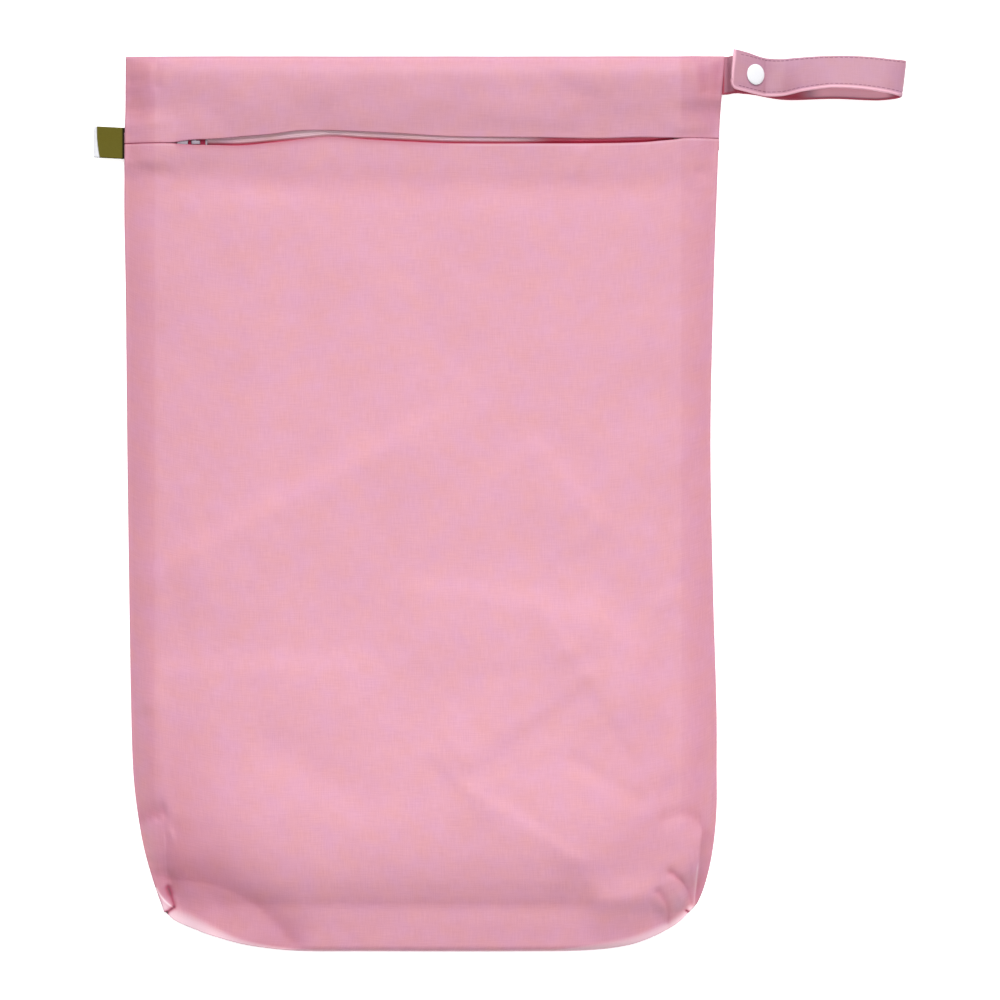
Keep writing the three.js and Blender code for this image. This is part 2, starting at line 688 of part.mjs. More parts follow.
const slider = new THREE.Group();
slider.position.set(SLIDER.x, ZIP.y, sliderPlateZ);
slider.add(piece('zip_slider', zipSlider(), greyMetal));
const pull = piece('zip_pull', zipPull(), pullMetal);
pull.position.set((CROWN_BAR.foot - CROWN_BAR.span) / 2, 0, SLIDER.plate + GAP);
slider.add(pull);
bag.add(slider);

const capSeat = STRAP.thickness / 2 + GAP;
bag.add(onSnap(piece('snap_cap', snapCap(), whitePlastic), LAYER_STEP + capSeat));
bag.add(onSnap(piece('snap_core', snapCore(), hiddenPlastic), LAYER_STEP / 2));
const backCap = onSnap(piece('snap_back_cap', snapCap(), whitePlastic.clone()), -capSeat);
backCap.rotateX(Math.PI);
bag.add(backCap);

export default bag;
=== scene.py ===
"""Looks of a zipped cloth pail bag that lies flat on its back, with a snapped strap loop.

Metres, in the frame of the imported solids: X across the bag, Y from bottom to top, Z up from the floor.
"""

import math

import bpy
import numpy as np
from mathutils import Matrix, Vector


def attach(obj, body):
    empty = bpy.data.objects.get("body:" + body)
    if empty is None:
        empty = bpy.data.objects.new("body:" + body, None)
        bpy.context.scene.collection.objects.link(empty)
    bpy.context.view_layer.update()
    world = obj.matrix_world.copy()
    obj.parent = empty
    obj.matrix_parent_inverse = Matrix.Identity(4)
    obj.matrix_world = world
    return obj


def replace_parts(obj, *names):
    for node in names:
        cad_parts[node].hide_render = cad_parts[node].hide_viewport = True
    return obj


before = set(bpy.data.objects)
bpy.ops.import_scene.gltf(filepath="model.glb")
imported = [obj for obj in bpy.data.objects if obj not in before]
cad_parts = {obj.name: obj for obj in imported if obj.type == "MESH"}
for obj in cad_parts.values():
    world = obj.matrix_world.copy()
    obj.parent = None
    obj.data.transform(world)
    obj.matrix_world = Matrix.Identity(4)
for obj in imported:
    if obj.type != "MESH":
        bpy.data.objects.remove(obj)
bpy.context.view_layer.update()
BODY = "root"


def columns(names, *rows):
    """A short table: its named columns as arrays."""
    return dict(zip(names.split(), np.array(rows, float).T))


def mix(a, b, share):
    return a + (b - a) * share


def ease(value, start, end):
    t = np.clip((value - start) / (end - start), 0, 1)
    return t * t * (3 - 2 * t)


def bell(value, width):
    return np.exp(-((value / width) ** 2))


def unit(vectors):
    return vectors / np.maximum(np.linalg.norm(vectors, axis=-1, keepdims=True), 1e-12)


# Cloth
CLOTH = 0.001
GAP = 0.0003
SKIN = 0.0005
RIM_TOP = 2 * CLOTH + GAP
RIM_MIDDLE = CLOTH + GAP / 2
EDGE_ROLL = 0.0011
EDGE_ROLL_STEPS = 4
HEM_ROLL = 0.0007
HEM_DEPTH = 0.006
HEM_STEPS = 8
LIP_GAP = 0.00004

# Outline: the sides and the bottom as in the solids, the slit's lips where the photograph shows them
SIDES = columns(
    "y left right",
    (-0.247, -0.2015, 0.1135),
    (-0.2415, -0.2034, 0.1184),
    (-0.228, -0.208, 0.1236),
    (-0.208, -0.2135, 0.1278),
    (-0.185, -0.2175, 0.1299),
    (-0.162, -0.2199, 0.13),
    (-0.126, -0.2211, 0.1299),
    (-0.054, -0.2223, 0.1278),
    (0.036, -0.2235, 0.1263),
    (0.126, -0.2244, 0.1281),
    (0.18, -0.2253, 0.1299),
    (0.226, -0.2247, 0.1318),
    (0.2658, -0.2244, 0.1347),
)
CORNER_Y = SIDES["y"][0]
CORNER_LEFT = SIDES["left"][0]
CORNER_RIGHT = SIDES["right"][0]
TOP_Y = SIDES["y"][-1]
BOTTOM_EDGE = columns(
    "x y",
    (-0.2015, -0.247),
    (-0.196, -0.252),
    (-0.1845, -0.2568),
    (-0.17, -0.2616),
    (-0.151, -0.2664),
    (-0.122, -0.2696),
    (-0.08, -0.27),
    (0.02, -0.27),
    (0.055, -0.2692),
    (0.077, -0.2664),
    (0.092, -0.2616),
    (0.1023, -0.2568),
    (0.1095, -0.252),
    (0.1135, -0.247),
)
BOTTOM_RADIUS = 0.004
BOTTOM_HALF_HEIGHT = 0.0054
BOTTOM_TUCK = 0.012
TUCK_STEPS = 7
FLANGE_REACH = 0.075
FLANGE_FOOT = 0.032
CORNER_TAPER = 0.03
LIP_Y = 0.2145
SLIT = columns(
    "x upper lower",
    (-0.225, 0.2133, 0.2133),
    (-0.1965, 0.2135, 0.2133),
    (-0.1898, 0.2146, 0.2127),
    (-0.1821, 0.2154, 0.2124),
    (-0.1701, 0.2158, 0.2122),
    (-0.1552, 0.2171, 0.212),
    (-0.1372, 0.2186, 0.2136),
    (-0.1193, 0.2208, 0.2154),
    (-0.1014, 0.2209, 0.2173),
    (-0.0834, 0.2203, 0.2159),
    (-0.0595, 0.2191, 0.2146),
    (-0.0296, 0.2174, 0.2134),
    (0.03, 0.2167, 0.2133),
    (0.06, 0.2164, 0.2135),
    (0.084, 0.217, 0.214),
    (0.096, 0.2168, 0.215),
    (0.104, 0.2167, 0.2157),
    (0.1105, 0.2166, 0.2165),
    (0.135, 0.2166, 0.2166),
)

# Height of the upper cloth along the middle, and how far in from the side seams it takes to rise there
CROWN = columns(
    "y height reach",
    (-0.27, 0.0098, 0.06),
    (-0.262, 0.0109, 0.06),
    (-0.252, 0.0121, 0.062),
    (-0.2445, 0.0131, 0.064),
    (-0.2405, 0.0142, 0.065),
    (-0.234, 0.0161, 0.067),
    (-0.226, 0.0181, 0.07),
    (-0.212, 0.0201, 0.076),
    (-0.19, 0.0206, 0.084),
    (-0.14, 0.0178, 0.096),
    (-0.06, 0.0146, 0.1),
    (0.06, 0.0125, 0.1),
    (0.15, 0.0098, 0.076),
    (0.195, 0.0074, 0.048),
    (0.214, 0.0064, 0.04),
    (0.228, 0.0085, 0.04),
    (0.24, 0.0103, 0.04),
    (0.252, 0.0113, 0.04),
    (0.258, 0.0105, 0.04),
    (0.263, 0.0076, 0.04),
    (0.266, 0.0023, 0.04),
)
SEAM_BAND = 0.012
RISE_START = 0.003
RISE_POWER = 2.2
# Share of the height that is reached just inside the side seams
SIDE_STEP = 0.45
SIDE_STEP_REACH = 0.02

# Sharp creases and soft folds: a ridge has a positive lift, a valley a negative one.
# Left and right are its widths on either side of the line, seen along it, and fade is how far it runs out.
# Tone is painted light and shade: 1 where the cloth is painted pale as a highlight, -1 where it is painted
# deep crimson as shade, and below -1 painted darker still.
FOLD_SHAPE = "from_x from_y to_x to_y bow left right fade"
CREASES = columns(
    FOLD_SHAPE + " lift tone",
    # bottom left corner: the valley over the boxed lobe and its painted shade, painted shade above it,
    # then the gusset's line and the fold at its top in painted shade, and two painted highlight lines
    (-0.201, -0.2275, -0.126, -0.263, 0.0118, 0.014, 0.07, 0.01, -0.0036, 0),
    (-0.201, -0.2275, -0.126, -0.263, 0.0121, 0.01, 0.0006, 0.01, 0, -0.08),
    (-0.192, -0.155, -0.192, -0.21, 0, 0.028, 0.014, 0.018, 0, -0.12),
    (-0.2, -0.196, -0.1995, -0.228, 0, 0.016, 0.003, 0.006, -0.001, -0.06),
    (-0.215, -0.191, -0.201, -0.1868, 0, 0.005, 0.0026, 0.003, -0.0022, -0.14),
    (-0.1986, -0.1956, -0.1953, -0.2016, 0.001, 0.0015, 0.0015, 0.002, 0.0006, 0.1),
    (-0.2003, -0.2034, -0.2, -0.222, 0, 0.0006, 0.0006, 0.004, 0.0003, 0.15),
    # the same corner: painted shade in the pit beside the lobe, a painted highlight on the turned edge,
    # and dark painted shade in the slit under it and at the lobe's foot
    (-0.1985, -0.233, -0.1953, -0.2424, 0, 0.001, 0.0016, 0.002, -0.003, -0.8),
    (-0.1988, -0.233, -0.1976, -0.2356, 0, 0.0022, 0.0022, 0.002, -0.0015, -0.5),
    (-0.2058, -0.2328, -0.1962, -0.244, -0.0012, 0.0006, 0.0006, 0.001, 0.001, 0.9),
    (-0.1956, -0.2441, -0.2, -0.2474, 0, 0.0008, 0.0008, 0.001, -0.002, -2.3),
    (-0.1998, -0.2474, -0.2013, -0.2484, 0, 0.0009, 0.0009, 0.001, -0.002, -2.6),
    # along the bottom: the line above its strip, and the strip, both in painted shade
    (-0.15, -0.241, 0.045, -0.241, 0, 0.006, 0.0025, 0.02, -0.0003, -0.06),
    (-0.12, -0.256, 0.08, -0.256, 0, 0.009, 0.012, 0.02, 0, -0.06),
    # bottom right corner: painted shade over it and on the tongue's top, the standing edge,
    # a painted highlight line and painted shade on the flank, then the two darts in painted shade,
    # a painted highlight between them and the notch in dark painted shade
    (0.08, -0.15, 0.086, -0.195, 0, 0.024, 0.026, 0.02, 0, -0.08),
    (0.0993, -0.1902, 0.1221, -0.1992, 0.0078, 0.004, 0.003, 0.004, -0.0012, -0.08),
    (0.12, -0.206, 0.116, -0.2425, 0, 0.0025, 0.006, 0.01, 0.0022, 0),
    (0.1181, -0.22, 0.1164, -0.241, 0, 0.0006, 0.0006, 0.003, 0.0004, 0.45),
    (0.1206, -0.203, 0.1176, -0.236, 0, 0.006, 0.0008, 0.007, 0, -0.46),
    (0.102, -0.2226, 0.1149, -0.241, 0.0024, 0.0026, 0.0014, 0.003, -0.0016, -0.3),
    (0.0945, -0.234, 0.1007, -0.253, 0.0024, 0.0024, 0.0014, 0.003, -0.0016, -0.28),
    (0.102, -0.237, 0.109, -0.245, 0, 0.0045, 0.0045, 0.002, 0, 0.08),
    (0.112, -0.2462, 0.1135, -0.247, 0, 0.0006, 0.0006, 0.001, -0.002, -2.6),
)
CREASE_POWER = 1.3
FOLDS = columns(
    FOLD_SHAPE + " lift",
    # bottom corners: the hollow over the lobe at the left, then at the right the puff and the patch
    # beside the darts, and the slope beside the tongue
    (-0.202, -0.228, -0.17, -0.23, 0.002, 0.036, 0.07, 0.012, -0.0012),
    (0.102, -0.248, 0.11, -0.243, 0, 0.011, 0.005, 0.005, 0.0075),
    (0.062, -0.24, 0.086, -0.24, 0, 0.011, 0.02, 0.008, 0.0029),
    (0.0476, -0.213, 0.0896, -0.183, 0, 0.035, 0.016, 0.01, 0.0013),
    # body, from its top: long slack folds with one steep side, then the crossing ones above the bottom
    (-0.115, 0.162, -0.06, 0.125, 0, 0.007, 0.025, 0.01, 0.0004),
    (-0.16, 0.153, -0.139, 0.123, 0, 0.006, 0.02, 0.008, 0.0004),
    (-0.178, -0.032, -0.06, 0.034, 0, 0.0085, 0.045, 0.03, 0.0023),
    (-0.067, 0.056, -0.034, 0.077, 0, 0.007, 0.03, 0.01, 0.0005),
    (0.0225, 0.0304, 0.0603, -0.0128, 0, 0.0046, 0.03, 0.008, 0.0012),
    (-0.052, -0.0565, 0.047, -0.0728, 0.001, 0.01, 0.035, 0.012, 0.0012),
    (0.064, -0.079, 0.082, -0.108, 0.004, 0.008, 0.035, 0.022, 0.0018),
    (0.092, -0.062, 0.101, -0.055, 0, 0.003, 0.008, 0.004, 0.0005),
    (0.0234, -0.0593, 0.0432, -0.0913, 0, 0.003, 0.015, 0.005, 0.0006),
    (-0.0117, -0.099, 0.0453, -0.09, 0, 0.025, 0.004, 0.008, 0.0003),
    (-0.204, -0.106, -0.096, -0.104, 0.002, 0.009, 0.035, 0.012, 0.0009),
    (-0.2215, -0.1225, -0.212, -0.1235, 0, 0.012, 0.003, 0.008, 0.0013),
    (-0.1317, -0.148, -0.08, -0.178, 0, 0.016, 0.013, 0.012, -0.001),
    (-0.0165, -0.1566, 0.0507, -0.1056, 0, 0.025, 0.004, 0.006, 0.0009),
    (0.055, -0.1064, 0.0928, -0.1664, 0, 0.02, 0.0036, 0.006, 0.0008),
    (0.0435, -0.1545, 0.0843, -0.1785, 0, 0.0045, 0.006, 0.006, -0.0008),
    (-0.04, -0.151, -0.013, -0.178, 0, 0.02, 0.003, 0.004, 0.0007),
    (-0.0161, -0.1731, 0.0439, -0.2121, 0, 0.003, 0.02, 0.006, 0.0009),
    (-0.0387, -0.189, 0.0033, -0.183, 0, 0.02, 0.004, 0.006, 0.0003),
    # under the zip: the slack behind the lip, its steepest place, a short crease and pinches by the seams
    (-0.165, 0.191, 0.07, 0.189, -0.002, 0.012, 0.012, 0.045, -0.0014),
    (-0.15, 0.179, -0.12, 0.178, 0, 0.006, 0.02, 0.012, 0.0004),
    (0.0425, 0.196, 0.0505, 0.2085, 0, 0.003, 0.003, 0.004, 0.0009),
    (-0.22, 0.2, -0.198, 0.195, 0, 0.004, 0.004, 0.004, -0.0003),
    (0.12, 0.196, 0.129, 0.194, 0, 0.003, 0.003, 0.003, -0.0006),
    # top band: soft ridges and dents, and the pinches by the seams
    (-0.155, 0.237, -0.102, 0.243, 0, 0.016, 0.016, 0.014, 0.0017),
    (-0.096, 0.226, -0.04, 0.24, 0, 0.008, 0.012, 0.008, 0.0006),
    (-0.006, 0.232, 0.039, 0.228, 0, 0.01, 0.006, 0.01, 0.0006),
    (0.025, 0.258, 0.049, 0.242, 0, 0.006, 0.005, 0.008, -0.0005),
    (0.048, 0.22, 0.053, 0.24, 0, 0.004, 0.005, 0.006, -0.0006),
    (-0.206, 0.266, -0.2058, 0.248, 0, 0.004, 0.0022, 0.003, -0.0008),
    (-0.2225, 0.25, -0.218, 0.228, 0, 0.006, 0.004, 0.004, -0.0009),
    (0.121, 0.264, 0.124, 0.246, 0, 0.005, 0.004, 0.004, -0.001),
    (0.106, 0.223, 0.126, 0.223, 0, 0.008, 0.004, 0.004, 0.0006),
)
UPPER_LIP_LIFT = 0.0003
LOWER_LIP_LIFT = 0.0015
LIP_LIFT_REACH = 0.012

# Painted light along the edges: a painted highlight on the foot along the bottom, and painted shade in the
# hollows
FOOT_HIGHLIGHT = columns(
    "x width tone",
    (-0.2015, 0.0115, 0.66),
    (-0.185, 0.012, 0.66),
    (-0.17, 0.0085, 0.6),
    (-0.155, 0.0045, 0.5),
    (-0.12, 0.002, 0.4),
    (0.03, 0.002, 0.4),
    (0.06, 0.0055, 0.5),
    (0.095, 0.0075, 0.58),
    (0.1135, 0.006, 0.62),
)
FOOT_BLUR = 0.2
HOLLOW_DEPTH = 0.006
HOLLOW_PAINTED_SHADE = -0.28
# The seam allowances show through as straight darker strips
ALLOWANCE_X = (-0.2063, 0.1083)
ALLOWANCE_BLUR = 0.0008
ALLOWANCE_END = (-0.2, -0.185)
ALLOWANCE_DOUBLED = (0.222, 0.232)
SEAM_TONE = -0.08
# The lips have a crimson edge of painted shade with a painted highlight line below it, fainter where they are
# sewn together
CLOSED_LIPS = (0.0003, 0.0012)
CLOSED_LIP_TONE = -1.1
SEWN_LIP_TONE = -0.25
SEWN_LIP_FROM = (0.103, 0.112)
OPEN_LIP_TONE = -0.75
LIP_EDGE = 0.0004
LIP_SHADE = 0.0014
LIP_SHADE_END = (-0.06, -0.01)
LIP_LINE = 0.001
LIP_LINE_WIDTH = 0.0005
LIP_LINE_TONE = 0.25

# Room beside the side seams where the label and the strap are sewn in, and over the slider
STRAP_WIDTH = 0.0228
STRAP_THICKNESS = 0.0016
STRAP_SEAM_Y = 0.2542
LABEL_Y = 0.2137
LABEL_WIDTH = 0.0186
LABEL_LAYER = 0.0008
ROOM_FADE = 0.012
ROOM_MARGIN = 0.001
ROOM_NEAR = (0.013, 0.034)
SWELL_X = -0.187
SWELL_FLAT = 0.008
SWELL_FADE = 0.028
SWELL_LEVELS = (0.003, 0.024)
SWELL_LIFT = 0.002

# Grids of the cloth pieces: fine steps along the edges, coarse ones between them
FINE_STEP = 0.0005
COARSE_STEP = 0.0036
STEP_GROWTH = 0.08
STEP_SAMPLES = 4001
FRONT_SIZE = (0.345, 0.48)
SIDE_ZONE = 0.017
LIP_ZONE = 0.006
BOTTOM_ZONE = 0.026
BAND_ROWS = 50
BACK_STEPS = (90, 130)


# Curves and random fields
def reader(table, key, column):
    """A smooth curve through one column of a table whose rows are sorted by another."""
    places = table[key]
    values = table[column]
    last = len(places) - 1
    before = np.maximum(np.arange(last + 1) - 1, 0)
    after = np.minimum(np.arange(last + 1) + 1, last)
    slopes = (values[after] - values[before]) / (places[after] - places[before])

    def read(at):
        i = np.clip(np.searchsorted(places, at) - 1, 0, last - 1)
        span = places[i + 1] - places[i]
        t = np.clip((at - places[i]) / span, 0, 1)
        lean = t * (1 - t) * span * ((1 - t) * slopes[i] - t * slopes[i + 1])
        return mix(values[i], values[i + 1], t * t * (3 - 2 * t)) + lean

    return read


left_seam = reader(SIDES, "y", "left")
right_seam = reader(SIDES, "y", "right")
bottom_edge = reader(BOTTOM_EDGE, "x", "y")
upper_lip = reader(SLIT, "x", "upper")
lower_lip = reader(SLIT, "x", "lower")
crown_height = reader(CROWN, "y", "height")
crown_reach = reader(CROWN, "y", "reach")
foot_width = reader(FOOT_HIGHLIGHT, "x", "width")
foot_tone = reader(FOOT_HIGHLIGHT, "x", "tone")


def ripples(seed, count, shortest, longest):
    """A smooth random field about 1 high: waves of random length, direction and phase."""
    random = np.random.default_rng(seed)
    lengths = random.uniform(shortest, longest, count)
    turns = random.uniform(0, 2 * math.pi, count)
    phases = random.uniform(0, 2 * math.pi, count)

    def field(x, y):
        total = np.zeros(np.broadcast(x, y).shape)
        for length, turn, phase in zip(lengths, turns, phases):
            along = x * math.cos(turn) + y * math.sin(turn)
            total += np.sin(2 * math.pi * along / length + phase)
        return total / math.sqrt(count / 2)

    return field


broad_ripples = ripples(seed=11, count=14, shortest=0.045, longest=0.11)
fine_ripples = ripples(seed=23, count=16, shortest=0.012, longest=0.03)
pucker_ripples = ripples(seed=31, count=10, shortest=0.007, longest=0.014)
BROAD_RIPPLE = 0.00012
BAND_RIPPLE = 0.00036
BAND_RIPPLE_FROM = (0.18, 0.215)
FINE_RIPPLE = 0.00005
PUCKER = 0.0001
PUCKER_START = 0.002
PUCKER_REACH = 0.012
PUCKER_SLANT = 0.3


# Upper cloth
def lips(x):
    """Upper and lower edge of the slit, which never quite touch."""
    upper = upper_lip(x)
    lower = lower_lip(x)
    middle = (upper + lower) / 2
    half = np.maximum((upper - lower) / 2, LIP_GAP / 2)
    return middle + half, middle - half


def seam_depth(x, y):
    return np.maximum(np.minimum(x - left_seam(y), right_seam(y) - x), 0)


def folded(table, column, power, x, y):
    """Sum of one column of a table of folds, each fading away from its line; a low power makes it sharp."""
    total = np.zeros(np.broadcast(x, y).shape)
    rows = zip(*(table[key] for key in FOLD_SHAPE.split()), table[column])
    for from_x, from_y, to_x, to_y, bow, left, right, fade, amount in rows:
        dx = to_x - from_x
        dy = to_y - from_y
        length = math.hypot(dx, dy)
        along = ((x - from_x) * dx + (y - from_y) * dy) / length**2
        t = np.clip(along, 0, 1)
        beside = ((y - from_y) * dx - (x - from_x) * dy) / length - bow * 4 * t * (1 - t)
        past = (along - t) * length
        width = np.where(beside > 0, left, right)
        total += amount * np.exp(-np.abs(beside / width) ** power) * bell(past, fade)
    return total


def fold_lift(x, y):
    return folded(FOLDS, "lift", 2, x, y) + folded(CREASES, "lift", CREASE_POWER, x, y)


def seam_room(x, y):
    """Extra height beside a side seam where the strap or the label is sewn in."""
    total = np.zeros(np.broadcast(x, y).shape)
    for inward, level, width, layers in (
        (x - left_seam(y), LABEL_Y, LABEL_WIDTH, 2 * LABEL_LAYER),
        (right_seam(y) - x, STRAP_SEAM_Y, STRAP_WIDTH, STRAP_THICKNESS),
    ):
        near = 1 - ease(inward, *ROOM_NEAR)
        beside = 1 - ease(np.abs(y - level), width / 2 + ROOM_MARGIN, width / 2 + ROOM_FADE)
        total += (layers + 2 * GAP) * near * beside
    return total


def slider_swell(x, y):
    beside = 1 - ease(np.abs(x - SWELL_X), SWELL_FLAT, SWELL_FLAT + SWELL_FADE)
    return SWELL_LIFT * beside * (1 - ease(np.abs(y - LIP_Y), *SWELL_LEVELS))


def plain_height(x, y, start):
    """Upper cloth before its folds; start is how far in from the seams it begins to rise."""
    depth = seam_depth(x, y)
    share = np.clip((depth - start) / (crown_reach(y) + SEAM_BAND - start), 0, 1)
    slow = 1 - (1 - share) ** RISE_POWER
    quick = 1 - (1 - np.clip(depth / SIDE_STEP_REACH, 0, 1)) ** 2
    return RIM_TOP + mix(slow, quick, SIDE_STEP) * (crown_height(y) - RIM_TOP)


def cloth_height(x, y):
    depth = seam_depth(x, y)
    broad = mix(BROAD_RIPPLE, BAND_RIPPLE, ease(y, *BAND_RIPPLE_FROM))
    relief = fold_lift(x, y) + broad * broad_ripples(x, y) + FINE_RIPPLE * fine_ripples(x, y)
    lip_lift = np.where(y > sum(lips(x)) / 2, UPPER_LIP_LIFT, LOWER_LIP_LIFT)
    relief = relief + lip_lift * bell(y - LIP_Y, LIP_LIFT_REACH)
    puckers = PUCKER * pucker_ripples(x * PUCKER_SLANT, y)
    puckers = puckers * np.exp(-depth / PUCKER_REACH) * ease(depth, 0, PUCKER_START)
    lifted = plain_height(x, y, RISE_START) - RIM_TOP + ease(depth, 0, SEAM_BAND) * relief
    soft = SKIN * np.logaddexp(0, lifted / SKIN)
    return RIM_TOP + soft + puckers + seam_room(x, y) + slider_swell(x, y)


# Bottom fold
def past_corners(x, reach):
    """From 0 at the bottom corners to 1 where x is a reach inside them."""
    return ease(np.minimum(x - CORNER_LEFT, CORNER_RIGHT - x), 0, reach)


def bottom_profile(x, y):
    """Share of its height that the cloth has near the bottom: round in the middle, flat at the corners."""
    above = y - bottom_edge(x)
    turn = np.clip(1 - above / BOTTOM_RADIUS, 0, 1)
    return mix(ease(above, 0, FLANGE_FOOT), np.sqrt(1 - turn**2), past_corners(x, FLANGE_REACH))


# Tone of the cloth: painted light and shade, and the darker seam allowances
def allowance_tone(x, y):
    inside = np.minimum(x - ALLOWANCE_X[0], ALLOWANCE_X[1] - x)
    strip = (1 - ease(inside, -ALLOWANCE_BLUR, ALLOWANCE_BLUR)) * ease(y, *ALLOWANCE_END)
    return SEAM_TONE * strip * (1 + ease(y, *ALLOWANCE_DOUBLED))


def lip_tone(x, y):
    """Painted crimson shade along the lips: soft where they sag,
    sharp and with a painted highlight line elsewhere.
    """
    upper, lower = lips(x)
    below = lower - y
    closed = 1 - ease(upper - lower, *CLOSED_LIPS)
    sharp = np.maximum(ease(x, *LIP_SHADE_END), closed)
    shut_tone = mix(CLOSED_LIP_TONE, SEWN_LIP_TONE, ease(x, *SEWN_LIP_FROM))
    edge = mix(OPEN_LIP_TONE, shut_tone, closed) * np.exp(-np.abs(below) / mix(LIP_SHADE, LIP_EDGE, sharp))
    return edge + LIP_LINE_TONE * sharp * bell(below - LIP_LINE, LIP_LINE_WIDTH)


def cloth_tone(x, y):
    """Pale above zero, crimson below it: painted light and shade on the creases, hollows, foot and lips,
    and the darker seam allowances.
    """
    width = foot_width(x)
    foot = foot_tone(x) * (1 - ease(y - bottom_edge(x), width * FOOT_BLUR, width))
    creases = folded(CREASES, "tone", CREASE_POWER, x, y)
    hollows = HOLLOW_PAINTED_SHADE * np.clip(-fold_lift(x, y) / HOLLOW_DEPTH, 0, 1)
    return creases + foot + (hollows + allowance_tone(x, y)) * (1 - foot) + lip_tone(x, y)


# Meshes
def placed(name, data):
    thing = bpy.data.objects.new(name, data)
    bpy.context.scene.collection.objects.link(thing)
    return thing


def floats(values):
    return np.ascontiguousarray(values, np.float32).ravel()


def new_object(name, points, faces, weave=None, tone=None):
    """A smooth mesh piece from points and lists of equal faces; weave is its place on the flat cloth."""
    mesh = bpy.data.meshes.new(name)
    sizes = np.concatenate([np.full(len(part), part.shape[1]) for part in faces])
    corners = np.concatenate([part.ravel() for part in faces]).astype(np.int32)
    mesh.vertices.add(len(points))
    mesh.vertices.foreach_set("co", floats(points))
    mesh.loops.add(len(corners))
    mesh.loops.foreach_set("vertex_index", corners)
    mesh.polygons.add(len(sizes))
    mesh.polygons.foreach_set("loop_start", (np.cumsum(sizes) - sizes).astype(np.int32))
    mesh.update(calc_edges=True)
    mesh.shade_smooth()
    for layer, kind, field, values in (
        ("weave", "FLOAT_VECTOR", "vector", weave),
        ("tone", "FLOAT", "value", tone),
    ):
        if values is not None:
            mesh.attributes.new(layer, kind, "POINT").data.foreach_set(field, floats(values))
    piece = placed(name, mesh)
    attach(piece, BODY)
    return piece


def quads(a, b, c, d):
    return np.stack([a.ravel(), b.ravel(), c.ravel(), d.ravel()], axis=1)


def grid_normals(grid):
    return unit(np.cross(np.gradient(grid, axis=0), np.gradient(grid, axis=1)))


def grid_lengths(grid):
    """Place of every grid point on the flat cloth: metres across and along, from its middle."""
    place = np.zeros(grid.shape)
    for axis, column in ((1, 0), (0, 1)):
        steps = np.linalg.norm(np.diff(grid, axis=axis), axis=2)
        lead = np.zeros_like(np.take(steps, [0], axis=axis))
        run = np.concatenate([lead, np.cumsum(steps, axis=axis)], axis=axis)
        place[:, :, column] = run - np.take(run, [run.shape[axis] // 2], axis=axis)
    return place


def shell(name, grid, tone, thickness=SKIN):
    """A closed skin: the grid, seen from outside the cloth, its copy a thickness in, and the rim between."""
    count = grid.shape[0] * grid.shape[1]
    inner = grid - thickness * grid_normals(grid)
    points = np.concatenate([grid.reshape(-1, 3), inner.reshape(-1, 3)])
    weave = np.tile(grid_lengths(grid).reshape(-1, 3), (2, 1))
    index = np.arange(count).reshape(grid.shape[:2])
    outer = quads(index[:-1, :-1], index[1:, :-1], index[1:, 1:], index[:-1, 1:])
    inside = outer[:, [0, 3, 2, 1]] + count
    edge = np.concatenate([index[0, :-1], index[:-1, -1], index[-1, :0:-1], index[:0:-1, 0]])
    after = np.roll(edge, -1)
    rim = quads(edge, after, after + count, edge + count)
    return new_object(name, points, [outer, inside, rim], weave, np.tile(tone.ravel(), 2))


def with_ends(values):
    """Values on every point of the rings, and their means for the middles of the two end caps."""
    width = values.shape[2]
    return np.concatenate([values.reshape(-1, width), [values[0].mean(0), values[-1].mean(0)]])


def looped(rings):
    """Points and faces of a body whose last ring joins its first, such as a plate with a hole."""
    index = np.arange(rings.shape[0] * rings.shape[1]).reshape(rings.shape[:2])
    after = np.roll(index, -1, axis=1)
    sides = quads(index, np.roll(index, -1, axis=0), np.roll(after, -1, axis=0), after)
    return rings.reshape(-1, 3), [sides]


def lofted(rings):
    """Points and faces of a closed body through rings of equal size, with its two ends capped."""
    count, around = rings.shape[:2]
    _, (sides,) = looped(rings)
    first = np.arange(around)
    last = first[::-1] + (count - 1) * around
    caps = []
    for middle, ring in ((count * around, first), (count * around + 1, last)):
        caps.append(np.stack([np.full(around, middle), ring, np.roll(ring, -1)], axis=1))
    return with_ends(rings), [sides[: (count - 1) * around], *caps]


def joined(name, *bodies):
    """One piece from several closed bodies of points and faces."""
    faces = []
    start = 0
    for points, parts in bodies:
        faces += [part + start for part in parts]
        start += len(points)
    return new_object(name, np.concatenate([points for points, _ in bodies]), faces)


def spokes(direction, guide, sides):
    """Unit spokes round each direction, the first of them square to the guide."""
    first = unit(np.cross(direction, guide))
    second = np.cross(direction, first)
    turn = np.arange(sides)[:, None] * 2 * math.pi / sides
    return first[:, None] * np.cos(turn) + second[:, None] * np.sin(turn)


# Cloth panels
def graded(length, first, last):
    """Shares from 0 to 1 of a length: fine steps over its first and last stretch, coarser between."""
    place = np.linspace(0, length, STEP_SAMPLES)
    beyond = np.maximum(np.minimum(place - first, length - last - place), 0)
    step = np.minimum(FINE_STEP + STEP_GROWTH * beyond, COARSE_STEP)
    count = np.concatenate([[0], np.cumsum(np.diff(place) / step[1:])])
    return np.interp(np.linspace(0, count[-1], math.ceil(count[-1]) + 1), count, place) / length


def between_seams(level, share):
    return mix(left_seam(level) + EDGE_ROLL, right_seam(level) - EDGE_ROLL, share)


def edge_rolls(out_x, out_y, drop):
    """Moves that roll an edge over, from the cloth outwards; drop is -1 for down and 1 for up."""
    moves = []
    for turn in np.linspace(0, math.pi / 2, EDGE_ROLL_STEPS + 1)[1:]:
        out = math.sin(turn)
        moves.append(EDGE_ROLL * np.array([out_x * out, out_y * out, drop * (1 - math.cos(turn))]))
    return moves


